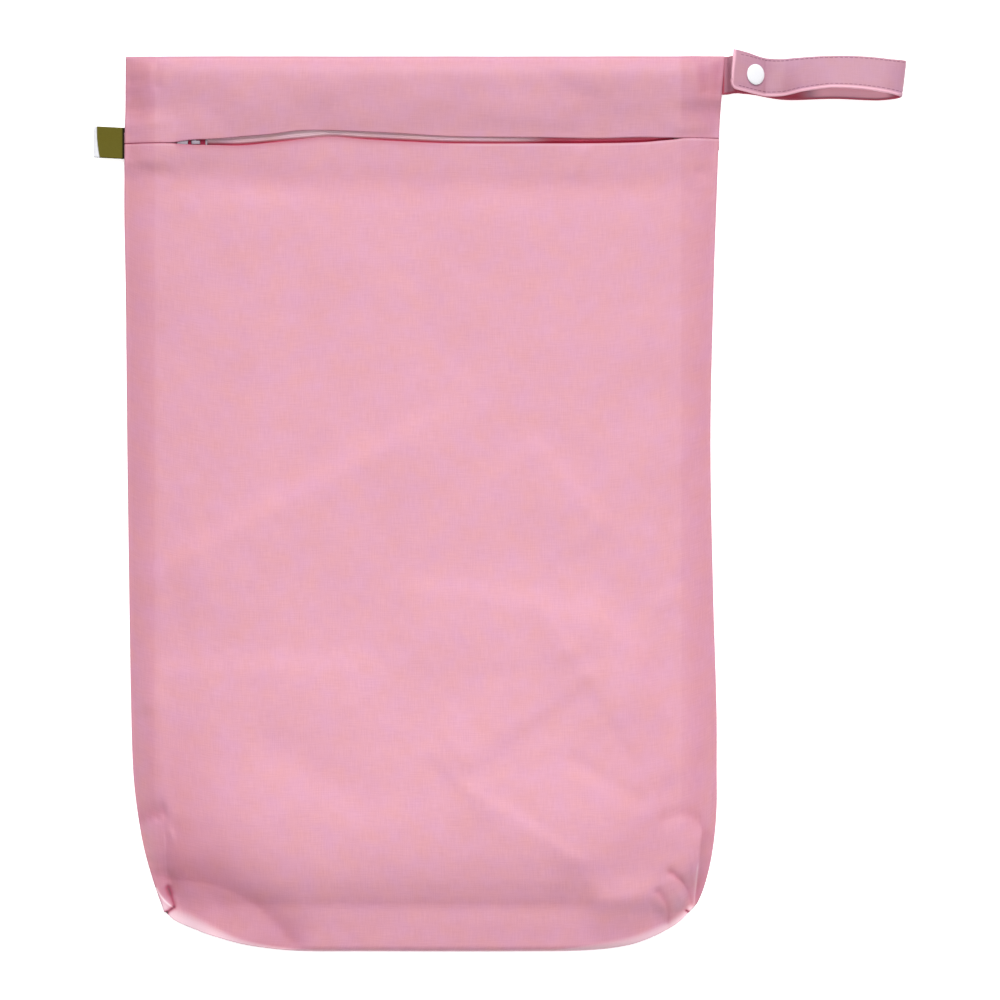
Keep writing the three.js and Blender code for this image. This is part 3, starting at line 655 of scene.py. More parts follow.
def rolled_sides(grid, drop):
    left = [grid[:, 0] + move for move in edge_rolls(-1, 0, drop)[::-1]]
    right = [grid[:, -1] + move for move in edge_rolls(1, 0, drop)]
    return np.concatenate([np.stack(left, 1), grid, np.stack(right, 1)], axis=1)


def rolled_top(edge, drop):
    return np.stack([edge + move for move in edge_rolls(0, 1, drop)[::-1]])


def lip_hem(edge, direction):
    """Rows of a hem from its hidden end to the lip; direction is 1 where the slit is above the cloth."""
    rows = []
    for back in (HEM_DEPTH, HEM_DEPTH * 2 / 3, HEM_DEPTH / 3):
        x = edge[:, 0]
        y = edge[:, 1] - direction * back
        height = np.minimum(cloth_height(x, y), edge[:, 2]) - 2 * HEM_ROLL
        rows.append(np.stack([x, y, height], axis=1))
    for turn in np.linspace(-math.pi / 2, math.pi / 2, HEM_STEPS)[:-1]:
        rows.append(edge + HEM_ROLL * np.array([0, direction * math.cos(turn), math.sin(turn) - 1]))
    return np.stack(rows)


def bottom_tuck(edge, reach):
    """Rows that carry the bottom edge down and a reach back under the bag."""
    rows = []
    for angle in np.linspace(0, math.pi / 2, TUCK_STEPS)[1:]:
        under = edge.copy()
        under[:, 1] += reach * (1 - math.cos(angle))
        under[:, 2] *= 1 - math.sin(angle)
        rows.append(under)
    return np.stack(rows)


def front_cloth():
    u, v = np.meshgrid(
        graded(FRONT_SIZE[0], SIDE_ZONE, SIDE_ZONE),
        graded(FRONT_SIZE[1], LIP_ZONE, BOTTOM_ZONE),
    )
    x = between_seams(mix(LIP_Y, CORNER_Y, v), u)
    y = mix(lips(x)[1] - HEM_ROLL, bottom_edge(mix(CORNER_LEFT, CORNER_RIGHT, u)), v)
    share = past_corners(x, CORNER_TAPER)
    edge = mix(RIM_TOP, RIM_MIDDLE + share * BOTTOM_HALF_HEIGHT + GAP / 2, share)
    z = edge + (cloth_height(x, y) - edge) * bottom_profile(x, y)
    body = np.stack([x, y, z], axis=2)
    tuck = bottom_tuck(body[-1], EDGE_ROLL + BOTTOM_TUCK * share[-1])
    grid = rolled_sides(np.concatenate([lip_hem(body[0], 1), body, tuck]), -1)
    grid[:, :, 2] = np.maximum(grid[:, :, 2], SKIN)
    return shell("front_cloth", grid, cloth_tone(grid[:, :, 0], grid[:, :, 1]))


def top_cloth():
    u, v = np.meshgrid(graded(FRONT_SIZE[0], SIDE_ZONE, SIDE_ZONE), np.linspace(0, 1, BAND_ROWS + 1))
    x = between_seams(mix(TOP_Y, LIP_Y, v), u)
    y = mix(TOP_Y - EDGE_ROLL, lips(x)[0] + HEM_ROLL, v)
    body = np.stack([x, y, cloth_height(x, y)], axis=2)
    hem = lip_hem(body[-1], -1)[::-1]
    grid = rolled_sides(np.concatenate([rolled_top(body[0], -1), body, hem]), -1)
    return shell("top_cloth", grid, cloth_tone(grid[:, :, 0], grid[:, :, 1]))


def back_cloth():
    u, v = np.meshgrid(np.linspace(1, 0, BACK_STEPS[0] + 1), np.linspace(0, 1, BACK_STEPS[1] + 1))
    x = between_seams(mix(TOP_Y, CORNER_Y, v), u)
    bottom = bottom_edge(mix(CORNER_LEFT, CORNER_RIGHT, u))
    y = mix(TOP_Y - EDGE_ROLL, bottom + EDGE_ROLL + past_corners(x, CORNER_TAPER) * BOTTOM_TUCK, v)
    flat = np.stack([x, y, np.zeros_like(x)], axis=2)
    grid = rolled_sides(np.concatenate([rolled_top(flat[0], 1), flat])[:, ::-1], 1)[:, ::-1]
    return shell("back_cloth", grid, allowance_tone(grid[:, :, 0], grid[:, :, 1]))


# Zip
ZIP_LEFT = -0.196
ZIP_RIGHT = 0.104
ZIP_Y = 0.2138
ZIP_SHARE = 0.15
TAPE_WIDTH = 0.012
TAPE_STEPS = (48, 240)
TAPE_GRADING = 1.5
TAPE_DIP = 0.0018
TAPE_DIP_REACH = 0.0013
TAPE_DIP_FROM = (-0.182, -0.172)
TAPE_SINK = 0.0013
TAPE_SINK_FROM = (0.012, 0.034)
# Painted crimson shade in the tape's groove and where it sinks
TAPE_GROOVE_TONE = -1.0
TAPE_SINK_TONE = -0.9
# Where the slit bends up most, the tape lies bare almost down to the lower lip, and is painted paler there as
# light
TAPE_BARE_X = -0.106
TAPE_BARE_REACH = 0.022
TAPE_BARE_SHARE = 0.4
TAPE_BARE_TONE = 0.45
# Fine ridges along the tape: place, width and lift of each, and the tone of the painted highlight along it
TAPE_RIDGES = columns(
    "place width lift tone",
    (0.0016, 0.00035, 0.0003, 0.2),
    (0.0026, 0.00035, 0.00025, 0.12),
)
SLIDER_X = -0.181
SLIDER_LENGTH = 0.011
SLIDER_WIDTHS = (0.0056, 0.008)
SLIDER_PLATE = 0.0011
SLIDER_NECK = 0.0022
SLIDER_CORNER = 0.0012
SLIDER_RIM = (-0.1762, -0.1751)
SLIDER_RIM_WIDTH = 0.0052
SLIDER_RIM_RISE = 0.0007
BAR_ENDS = (-0.1846, -0.1793)
BAR_WIDTH = 0.002
BAR_THICKNESS = 0.0009
BAR_RISE = 0.0021
BAR_BEND = 0.0008
BAR_BEND_STEPS = 6
PULL_ENDS = (-0.1931, -0.1815)
PULL_WIDTH = 0.0046
PULL_THICKNESS = 0.0009
PULL_CORNER = 0.002
EYE_ENDS = (-0.1867, -0.1826)
EYE_WIDTH = 0.0028
EYE_CORNER = 0.0008
METAL_BEVEL = 0.00022
BEVEL_STEPS = 4
TAPE_SPREAD = SLIDER_NECK / 2 + GAP
COIL_RIGHT = 0.094
COIL_PITCH = 0.0013
COIL_REACH = 0.0021
COIL_OVERLAP = 0.0003
COIL_HALF = 0.0003
COIL_WIRE = 0.00025
COIL_STEPS = 10
COIL_SIDES = 5


def zip_line(x):
    """Middle of the zip, which bends with the slit and shows nearer its lower lip."""
    upper, lower = lips(x)
    return mix(lower, upper, ZIP_SHARE)


def tape_top(x):
    return plain_height(x, np.full_like(x, ZIP_Y), SEAM_BAND) - CLOTH - 1.5 * GAP


def zip_tape(name, direction):
    """A woven tape from the zip's middle outwards; direction is 1 for the upper one."""
    across = np.linspace(0, 1, TAPE_STEPS[0] + 1) ** TAPE_GRADING
    along = np.linspace(ZIP_LEFT, ZIP_RIGHT, TAPE_STEPS[1] + 1)
    x, share = np.meshgrid(along[::-direction], across)
    inner = mix(TAPE_SPREAD, GAP / 2, ease(x, SLIDER_X, SLIDER_X + SLIDER_LENGTH))
    out = mix(inner, TAPE_WIDTH, share)
    bare = bell(x - TAPE_BARE_X, TAPE_BARE_REACH)
    groove = bell(out, TAPE_DIP_REACH) * ease(x, *TAPE_DIP_FROM) * (1 - TAPE_BARE_SHARE * bare)
    sink = ease(x, *TAPE_SINK_FROM)
    z = tape_top(x) - TAPE_DIP * groove - TAPE_SINK * sink
    # Tone: painted crimson shade in the groove and where the tape sinks, painted light where it lies bare and
    # on its ridges
    tone = TAPE_GROOVE_TONE * groove + (TAPE_SINK_TONE * sink + TAPE_BARE_TONE * bare) * (1 - groove)
    for place, width, lift, light in zip(*TAPE_RIDGES.values()):
        ridge = bell(out - place, width)
        z = z + lift * ridge
        tone = tone + light * ridge * (1 - sink)
    grid = np.stack([x, zip_line(x) + direction * out, z], axis=2)
    return shell(name, grid[::-1], tone[::-1])


def coil_row(side):
    """One row of nylon loops, flat under the edge of its tape."""
    left = SLIDER_X + SLIDER_LENGTH / 2 + GAP
    turn = np.arange(0, (COIL_RIGHT - left) / COIL_PITCH, 1 / COIL_STEPS) * 2 * math.pi
    x = left + COIL_PITCH * turn / (2 * math.pi)
    y = zip_line(x) + side * (COIL_REACH * (1 + np.cos(turn)) / 2 - COIL_OVERLAP)
    below = TAPE_DIP + TAPE_SINK * ease(x, *TAPE_SINK_FROM) + SKIN + COIL_HALF + COIL_WIRE
    line = np.stack([x, y, tape_top(x) - below + COIL_HALF * np.sin(turn)], axis=1)
    spoke = spokes(unit(np.gradient(line, axis=0)), [1, 0, 0], COIL_SIDES)
    return lofted((line[:, None] + COIL_WIRE * spoke)[::-1])


def rounded_outline(ends, widths, corner, steps=9):
    """Outline along X between two ends, each with its own width, with rounded corners."""
    left, right = ends[0] + corner, ends[1] - corner
    left_side, right_side = widths[0] / 2 - corner, widths[1] / 2 - corner
    outline = []
    for x, y, start in (
        (right, right_side, 0),
        (left, left_side, 90),
        (left, -left_side, 180),
        (right, -right_side, 270),
    ):
        turn = np.radians(np.linspace(start, start + 90, steps))
        outline.append(np.stack([x + corner * np.cos(turn), y + corner * np.sin(turn)], axis=1))
    return np.concatenate(outline)


def plate_rings(outline, low, high, inset=1):
    """Rings of a plate with rounded edges from its top down; inset is -1 for the wall of a hole."""
    middle = (outline.max(0) + outline.min(0)) / 2
    half = (outline.max(0) - outline.min(0)) / 2
    turns = np.linspace(0, math.pi / 2, BEVEL_STEPS)
    rings = []
    for end, inward, bends in ((high, -1, turns), (low, 1, turns[::-1])):
        for turn in bends:
            height = end + inward * METAL_BEVEL * (1 - math.cos(turn))
            shrink = 1 - inset * METAL_BEVEL * (1 - math.sin(turn)) / half
            place = middle + (outline - middle) * shrink
            rings.append(np.column_stack([place[:, 0], ZIP_Y + place[:, 1], np.full(len(place), height)]))
    return np.stack(rings)


def bent_bar(ends, foot, top):
    """A bar over the slider's plate: up from its left foot, across and down to its right one."""
    left, right = ends[0] + BAR_THICKNESS / 2, ends[1] - BAR_THICKNESS / 2
    level = top - BAR_THICKNESS / 2
    line = [(left, foot)]
    for middle, start in ((left + BAR_BEND, math.pi), (right - BAR_BEND, math.pi / 2)):
        for angle in np.linspace(start, start - math.pi / 2, BAR_BEND_STEPS):
            line.append((middle + BAR_BEND * math.cos(angle), level - BAR_BEND * (1 - math.sin(angle))))
    line = np.array(line + [(right, foot)])
    direction = unit(np.gradient(line, axis=0))
    section = rounded_outline((-BAR_WIDTH / 2, BAR_WIDTH / 2), (BAR_THICKNESS, BAR_THICKNESS), METAL_BEVEL, 4)
    x = line[:, :1] - direction[:, 1:] * section[None, :, 1]
    z = line[:, 1:] + direction[:, :1] * section[None, :, 1]
    y = np.broadcast_to(ZIP_Y + section[:, 0], x.shape)
    return lofted(np.stack([x, y, z], axis=2))


def slider():
    """The slider's two plates and neck, then its bar and end rim, then its pull."""
    top = tape_top(np.array([SLIDER_X]))[0] + GAP + SLIDER_PLATE
    under = top - 2 * SLIDER_PLATE - CLOTH - 2 * GAP
    ends = (SLIDER_X - SLIDER_LENGTH / 2, SLIDER_X + SLIDER_LENGTH / 2)
    outline = rounded_outline(ends, SLIDER_WIDTHS, SLIDER_CORNER)
    neck_x = SLIDER_X - SLIDER_LENGTH / 4
    neck_ends = (neck_x - SLIDER_NECK / 2, neck_x + SLIDER_NECK / 2)
    neck = rounded_outline(neck_ends, (SLIDER_NECK, SLIDER_NECK), METAL_BEVEL * 2)
    plates = joined(
        "slider_plates",
        lofted(plate_rings(outline, top - SLIDER_PLATE, top)),
        lofted(plate_rings(outline, under, under + SLIDER_PLATE)),
        lofted(plate_rings(neck, under + METAL_BEVEL, top - METAL_BEVEL)),
    )
    rim = rounded_outline(SLIDER_RIM, (SLIDER_RIM_WIDTH, SLIDER_RIM_WIDTH), METAL_BEVEL * 2)
    bar = joined(
        "slider_bar",
        bent_bar(BAR_ENDS, top - METAL_BEVEL, top + BAR_RISE),
        lofted(plate_rings(rim, top - METAL_BEVEL, top + SLIDER_RIM_RISE)),
    )
    low = top + GAP
    tab = rounded_outline(PULL_ENDS, (PULL_WIDTH, PULL_WIDTH), PULL_CORNER)
    eye = rounded_outline(EYE_ENDS, (EYE_WIDTH, EYE_WIDTH), EYE_CORNER)
    outside = plate_rings(tab, low, low + PULL_THICKNESS)
    hole = plate_rings(eye, low, low + PULL_THICKNESS, -1)[::-1]
    pull = joined("pull_tab", looped(np.concatenate([outside, hole])))
    return plates, bar, pull


# Strap
SNAP_POINT = np.array([0.1493, 0.2539, 0.0069])
SNAP_TILT = math.radians(30)
SNAP_NORMAL = np.array([math.sin(SNAP_TILT), 0, math.cos(SNAP_TILT)])
SNAP_SLOPE = np.array([math.cos(SNAP_TILT), 0, -math.sin(SNAP_TILT)])
CORE_HEIGHT = 0.0028
LAYER_STEP = STRAP_THICKNESS + CORE_HEIGHT + 2 * GAP
SNAP_FLAT = 0.0055
SNAP_EASE = 0.003
FLAP = 0.015


def snap_row(layer, ahead, y, yaw=0):
    """A row of the strap's middle line on the snap's slope."""
    x, _, z = SNAP_POINT + layer * LAYER_STEP * SNAP_NORMAL + ahead * SNAP_SLOPE
    return x, y, z, 0, yaw


# Middle line: roll lifts the strap's lower edge, and yaw slants it to the right at its top; both in degrees
STRAP_LINE = columns(
    "x y z roll yaw",
    (0.124, 0.2542, 0.0021, 0, 0),
    (0.133, 0.2542, 0.0021, 0, 0),
    (0.1366, 0.2542, 0.0038, 0, 0),
    (0.1389, 0.2542, 0.0084, 0, 0),
    snap_row(0, -SNAP_FLAT - SNAP_EASE, 0.2541),
    snap_row(0, -SNAP_FLAT, 0.254),
    snap_row(0, 0, 0.2539),
    snap_row(0, SNAP_FLAT, 0.2536),
    snap_row(0, SNAP_FLAT + SNAP_EASE, 0.2533),
    (0.163, 0.2523, 0.0012, 0, 0),
    (0.172, 0.2512, 0.0009, 0, 0),
    (0.2, 0.2519, 0.0009, 0, 0),
    (0.229, 0.251, 0.0012, 0, 4),
    (0.2412, 0.2519, 0.0058, 13, 8),
    (0.233, 0.253, 0.0112, 22, 6),
    (0.216, 0.2548, 0.0137, 26, 3),
    (0.197, 0.2553, 0.0138, 29, 0),
    (0.18, 0.2541, 0.0104, 22, 0),
    (0.168, 0.2527, 0.0068, 8, 0),
    snap_row(1, SNAP_FLAT + SNAP_EASE, 0.2528),
    snap_row(1, SNAP_FLAT, 0.2531),
    snap_row(1, 0, 0.2539),
    snap_row(1, -SNAP_FLAT, 0.2548),
    snap_row(1, -FLAP, 0.256, yaw=-4),
)
# Free end: a rounded lower corner, an edge that bulges and an upper corner that flares
FREE_CORNER = 0.0042
FREE_BULGE = 0.0012
FREE_BULGE_REACH = 0.012
FREE_FLARE = 0.0012
FREE_FLARE_REACH = 0.02
# Stretches along the strap where its painted light and shade change
ROOT_START = (0.01, 0.0112)
ROOT_END = (0.019, 0.023)
STRAP_TURN = (0.122, 0.132)
LOOP_NEAR_END = (0.058, 0.078)
LOOP_FAR_END = (0.114, 0.125)
FLAP_FADE = (0.004, 0.03)
RIM = (0.0006, 0.0016)
# Painted shade at the root under the flap, at the ends of the loop's inside and on the lower layer's edges;
# painted light on the rest of the inside, on the upper layer's edges and on the flap
ROOT_TONE = -0.18
STRAP_INSIDE_TONE = 0.95
STRAP_END_TONE = -1.1
LOWER_EDGE_TONE = -0.9
PALE_EDGE_TONE = 0.85
FLAP_TONE = 0.13
STRAP_STEPS = 420
STRAP_SAMPLES = 4000
STRAP_SIDE_STEPS = 20
STRAP_END_STEPS = 8
LOWER_STITCH_INSET = 0.0026
UPPER_STITCH_INSET = 0.0014
STITCH_GROOVE = 0.00028
STITCH_GROOVE_WIDTH = 0.0007
STITCH_START = 0.008
STITCH_LENGTH = 0.0022
STITCH_PITCH = 0.0029
THREAD_RADIUS = 0.00022
THREAD_RISE = 0.3
THREAD_SIDES = 6
THREAD_UPRIGHT = 0.9
THREAD_PROFILE = columns("along round", (0, 0.35), (0.12, 0.85), (0.5, 1), (0.88, 0.85), (1, 0.35))


def spline(points, places):
    """Centripetal curve through points, at places counted in rows, and its direction there."""
    padded = np.concatenate([[2 * points[0] - points[1]], points, [2 * points[-1] - points[-2]]])
    i = np.clip(np.floor(places).astype(int), 0, len(points) - 2)
    t = (places - i)[:, None]
    before, start, end, after = (padded[i + k] for k in range(4))
    pairs = ((before, start), (start, end), (end, after))
    near, span, far = (np.linalg.norm(b - a, axis=1, keepdims=True) ** 0.5 for a, b in pairs)
    leave = ((start - before) / near - (end - before) / (near + span) + (end - start) / span) * span
    arrive = ((end - start) / span - (after - start) / (span + far) + (after - end) / far) * span
    square = 3 * (end - start) - 2 * leave - arrive
    cube = 2 * (start - end) + leave + arrive
    return start + t * (leave + t * (square + t * cube)), unit(leave + t * (2 * square + 3 * t * cube))


def strap_frames():
    """Middle line of the strap in even steps, with its sideways and outward directions."""
    points = np.stack([STRAP_LINE["x"], STRAP_LINE["y"], STRAP_LINE["z"]], axis=1)
    rows = np.arange(len(points))
    fine = np.linspace(0, len(points) - 1, STRAP_SAMPLES)
    line, _ = spline(points, fine)
    run = np.concatenate([[0], np.cumsum(np.linalg.norm(np.diff(line, axis=0), axis=1))])
    places = np.interp(np.linspace(0, run[-1], STRAP_STEPS + 1), run, fine)
    line, direction = spline(points, places)
    roll, yaw = (np.radians(np.interp(places, rows, STRAP_LINE[key])) for key in ("roll", "yaw"))
    level = np.stack([np.zeros_like(roll), np.cos(roll), -np.sin(roll)], axis=1)
    square = level - direction * (level * direction).sum(1, keepdims=True)
    outward = unit(np.cross(square, direction))
    sideways = unit(square) + np.tan(yaw)[:, None] * np.array([1.0, 0, 0])
    return line, sideways, outward, run[-1]


def strap_section():
    """Places round the strap's section: across its width, and which way it faces from its middle."""
    half = STRAP_WIDTH / 2 - STRAP_THICKNESS / 2
    flat = np.linspace(-1, 1, STRAP_SIDE_STEPS + 1) * half
    turn = np.linspace(-math.pi / 2, math.pi / 2, STRAP_END_STEPS + 1)[1:-1]
    bulge = STRAP_THICKNESS / 2 * np.cos(turn)
    rise = np.sin(turn)
    across = np.concatenate([flat, half + bulge, flat[::-1], -half - bulge])
    facing = np.concatenate([-np.ones_like(flat), rise, np.ones_like(flat), -rise])
    return across, facing


def free_end(across, left):
    """Places across the strap near its free end, and its bulge there; left is the length that remains."""
    half = STRAP_WIDTH / 2
    short = np.clip(FREE_CORNER - left, 0, FREE_CORNER)
    cut = FREE_CORNER - np.sqrt(FREE_CORNER**2 - short**2)
    flare = FREE_FLARE * (1 - ease(left, 0, FREE_FLARE_REACH))
    place = np.where(across < 0, across * (1 - cut / half), across * (1 + flare / half))
    bulge = FREE_BULGE * (1 - ease(across, -half / 3, half)) * (1 - ease(left, 0, FREE_BULGE_REACH))
    return place, bulge


def strap_tone(across, facing, run, left):
    """Painted crimson shade at the ends of the loop's inside, at its root and on the lower layer's edges,
    painted light on the upper one's edges, the rest of the inside and the flap.
    """
    turned_back = ease(run, *STRAP_TURN)
    ends = 1 - ease(run, *LOOP_NEAR_END) + ease(run, *LOOP_FAR_END)
    root = ease(run, *ROOT_START) * (1 - ease(run, *ROOT_END))
    inside = mix(mix(STRAP_INSIDE_TONE, STRAP_END_TONE, ends), ROOT_TONE, root)
    from_rim = np.minimum(STRAP_WIDTH / 2 + across, mix(STRAP_WIDTH, left, turned_back))
    rim = 1 - ease(from_rim, *RIM)
    rim_tone = mix(LOWER_EDGE_TONE, PALE_EDGE_TONE, turned_back)
    faces = np.where(facing < 0, inside, FLAP_TONE * (1 - ease(left, *FLAP_FADE)))
    upper_edge = (1 - np.abs(facing) ** 4) * np.where(across > 0, 1 - turned_back, 0)
    return mix(mix(faces, rim_tone, rim), LOWER_EDGE_TONE, upper_edge)


def strap():
    line, sideways, outward, length = strap_frames()
    across, facing = strap_section()
    run = np.linspace(0, length, len(line))[:, None]
    inset = STRAP_WIDTH / 2 - np.abs(across) - np.where(across < 0, LOWER_STITCH_INSET, UPPER_STITCH_INSET)
    thick = facing * (STRAP_THICKNESS / 2 - STITCH_GROOVE * bell(inset, STITCH_GROOVE_WIDTH))
    place, bulge = free_end(across[None], length - run)
    direction = unit(np.gradient(line, axis=0))
    rings = line[:, None] + place[:, :, None] * sideways[:, None] + thick[None, :, None] * outward[:, None]
    rings += bulge[:, :, None] * direction[:, None]
    rings[:, :, 2] = np.maximum(rings[:, :, 2], 0)
    weave = np.zeros(rings.shape)
    weave[:, :, 0] = across[None]
    weave[:, :, 1] = run
    tone = strap_tone(across[None], facing[None], run, length - run)[:, :, None]
    points, faces = lofted(rings)
    return new_object("strap_cloth", points, faces, with_ends(weave), with_ends(tone)), length


def threads(name, starts, ends):
    """Many short round-ended threads as one mesh."""
    direction = unit(ends - starts)
    guide = np.where(np.abs(direction[:, 2:]) < THREAD_UPRIGHT, [[0, 0, 1]], [[1, 0, 0]])
    spoke = spokes(direction, guide, THREAD_SIDES)
    points = []
    for along, size in zip(*THREAD_PROFILE.values()):
        points.append(mix(starts, ends, along)[:, None] + THREAD_RADIUS * size * spoke)
    points = np.stack(points, axis=1)
    index = np.arange(points.size // 3).reshape(points.shape[:3])
    after = np.roll(index, -1, axis=2)
    sides = quads(index[:, :-1], after[:, :-1], after[:, 1:], index[:, 1:])
    caps = np.concatenate([index[:, 0, ::-1], index[:, -1]])
    return new_object(name, points.reshape(-1, 3), [sides, caps])


def strap_stitches():
    """Topstitching on the strap's outside, along both its long edges and across its free end."""
    *axes, length = strap_frames()
    run = np.linspace(0, length, STRAP_STEPS + 1)
    lift = STRAP_THICKNESS / 2 - STITCH_GROOVE + THREAD_RADIUS * THREAD_RISE
    starts = []
    ends = []

    def at(distance, across):
        place, side, out = (
            np.stack([np.interp(distance, run, part) for part in axis.T], -1) for axis in axes
        )
        return place + across * side + lift * out

    lower = LOWER_STITCH_INSET - STRAP_WIDTH / 2
    upper = STRAP_WIDTH / 2 - UPPER_STITCH_INSET
    first = np.arange(STITCH_START, length - LOWER_STITCH_INSET - STITCH_LENGTH, STITCH_PITCH)
    last = np.array([length - UPPER_STITCH_INSET])
    for across in (lower, upper):
        starts.append(at(first, across))
        ends.append(at(first + STITCH_LENGTH, across))
    for across in np.arange(lower + FREE_CORNER, upper - STITCH_LENGTH, STITCH_PITCH):
        starts.append(at(last, across))
        ends.append(at(last, across + STITCH_LENGTH))
    return threads("strap_stitches", np.concatenate(starts), np.concatenate(ends))


# Snap
CAP_RADIUS = 0.0062
CAP_HEIGHT = 0.0015
CAP_EDGE = 0.0004
CAP_STEPS = 14
CAP_ROUNDING = 0.6
POST_RADIUS = 0.0013
POST_LENGTH = 0.0017
CORE_RADIUS = 0.0046
CORE_GROOVE = 0.0008
CORE_LIP = 0.00025
ROUND_SIDES = 96
ON_AXIS = 0.0001


def turned(name, profile, place):
    """A body of revolution about its own Z, set at a place; the profile starts and ends on the axis."""
    turn = np.arange(ROUND_SIDES) * 2 * math.pi / ROUND_SIDES
    circle = np.stack([np.cos(turn), np.sin(turn)], axis=1)
    rings = [np.column_stack([radius * circle, np.full(ROUND_SIDES, height)]) for radius, height in profile]
    piece = joined(name, lofted(np.stack(rings)[::-1]))
    piece.data.transform(place)
    return piece


def on_snap(height, flip=False):
    """Place on the snap's axis, a height above the middle of the lower layer."""
    turn = Matrix.Rotation(SNAP_TILT, 4, "Y")
    if flip:
        turn = turn @ Matrix.Rotation(math.pi, 4, "X")
    return Matrix.Translation(Vector(SNAP_POINT + height * SNAP_NORMAL)) @ turn


def cap_profile():
    edge = [(ON_AXIS, -POST_LENGTH), (POST_RADIUS, -POST_LENGTH), (POST_RADIUS, 0)]
    edge.append((CAP_RADIUS - CAP_EDGE, 0))
    for angle in np.linspace(0, math.pi / 2, CAP_STEPS)[:-1]:
        height = CAP_EDGE + (CAP_HEIGHT - CAP_EDGE) * math.sin(angle)
        edge.append((CAP_RADIUS * math.cos(angle) ** CAP_ROUNDING, height))
    return edge + [(ON_AXIS, CAP_HEIGHT)]


def core_profile():
    half = CORE_HEIGHT / 2
    return [
        (ON_AXIS, -half),
        (CORE_RADIUS, -half),
        (CORE_RADIUS, -CORE_LIP),
        (CORE_RADIUS - CORE_GROOVE, 0),
        (CORE_RADIUS, CORE_LIP),
        (CORE_RADIUS, half),
        (ON_AXIS, half),
    ]


def snap():
    seat = STRAP_THICKNESS / 2 + GAP
    cap = turned("snap_front", cap_profile(), on_snap(LAYER_STEP + seat))
    core = turned("snap_middle", core_profile(), on_snap(LAYER_STEP / 2))
    back = turned("snap_rear", cap_profile(), on_snap(-seat, flip=True))
    return cap, core, back


# Label
LABEL_TIP = -0.2433
LABEL_ROOT = -0.215
LABEL_SLANT = math.radians(3)
LABEL_BAND = 0.0017
LABEL_BAND_SLANT = 0.09
LABEL_BAND_BOW = 6.0
LABEL_BAND_BLUR = 0.0004
LABEL_SHADE = (0.002, 0.0009)
LABEL_STEPS = (24, 150)


def label():
    """A ribbon folded in half, its fold away from the bag and both ends in the seam."""
    turn = (LABEL_LAYER + GAP) / 2
    level = CLOTH + GAP + LABEL_LAYER / 2 + turn
    straight = LABEL_ROOT - LABEL_TIP - turn - LABEL_LAYER / 2
    half = math.pi * turn / 2
    along = np.linspace(-1, 1, LABEL_STEPS[1] + 1) * (straight + half)
    past = np.abs(along) - half
    bend = np.clip(along, -half, half) / turn
    x = LABEL_ROOT - straight + np.where(past > 0, past, -turn * np.cos(bend))
    across = np.linspace(-0.5, 0.5, LABEL_STEPS[0] + 1)[:, None] * LABEL_WIDTH
    seam = left_seam(LABEL_Y)
    grid = np.zeros((len(across), len(along), 3))
    grid[:, :, 0] = x[None]
    grid[:, :, 1] = LABEL_Y + across + math.tan(LABEL_SLANT) * np.maximum(seam - x, 0)[None]
    grid[:, :, 2] = (level + turn * np.sin(bend))[None]
    outside = grid + LABEL_LAYER / 2 * grid_normals(grid)
    band = LABEL_BAND - LABEL_BAND_SLANT * across + LABEL_BAND_BOW * across**2
    # Painted shadow where the label goes under the bag's edge at the seam
    shade = ease(seam - x, *LABEL_SHADE)[None]
    tone = 1 - ease(np.abs(along)[None], band, band + LABEL_BAND_BLUR) - shade
    return shell("label_ribbon", outside, tone, LABEL_LAYER), 2 * (straight + half)


# Materials
THREAD_RANGE = (0.75, 1.25)
MOTTLE = 0.5
MOTTLE_SIZE = 0.036
SHIMMER_SIZE = 0.014
SHIMMER_RANGE = (0.3, 0.7)
WARM = (1.015, 1.0, 0.91)
COOL = (0.985, 1.0, 1.09)
DARKEST_PAINTED_SHADE = (0.15, 0.15, 0.15)
WEAVE_BUMP = 0.6
SHEEN_TINT = (1.0, 0.93, 0.95, 1)
SHEEN_ROUGHNESS = 0.45
# Hard stuff: how fine its unevenness is for each metre, the range of its polish, and its relief
UNEVEN_SCALE = 420.0
POLISH_RANGE = (0.8, 1.25)
UNEVEN_BUMP = 0.3
UNEVEN_HEIGHT = 0.00001
COAT_ROUGHNESS = 0.08


def set_inputs(node, **inputs):
    for key, value in inputs.items():
        node.inputs[key.replace("_", " ")].default_value = value


def new_material(name):
    material = bpy.data.materials.new(name)
    material.use_nodes = True
    return material, material.node_tree, material.node_tree.nodes["Principled BSDF"]


def add_node(tree, kind, **inputs):
    node = tree.nodes.new(kind)
    set_inputs(node, **inputs)
    return node


def attribute(tree, name, output):
    node = tree.nodes.new("ShaderNodeAttribute")
    node.attribute_name = name
    return node.outputs[output]


def noise(tree, place, size, detail):
    """Noise whose grain has a size in metres along each axis."""
    scaled = add_node(tree, "ShaderNodeMapping", Scale=tuple(1 / s for s in size))
    grain = add_node(tree, "ShaderNodeTexNoise", Scale=1.0, Detail=detail)
    tree.links.new(place, scaled.inputs["Vector"])
    tree.links.new(scaled.outputs["Vector"], grain.inputs["Vector"])
    return grain.outputs["Fac"]


def added(tree, first, second, share):
    """First value plus a share of the second."""
    total = tree.nodes.new("ShaderNodeMath")
    total.operation = "MULTIPLY_ADD"
    total.inputs[1].default_value = share
    tree.links.new(second, total.inputs[0])
    tree.links.new(first, total.inputs[2])
    return total.outputs[0]


def ranged(tree, value, low, high):
    """Value with low to high spread over 0 to 1."""
    span = add_node(tree, "ShaderNodeMapRange", From_Min=low, From_Max=high)
    tree.links.new(value, span.inputs["Value"])
    return span.outputs["Result"]


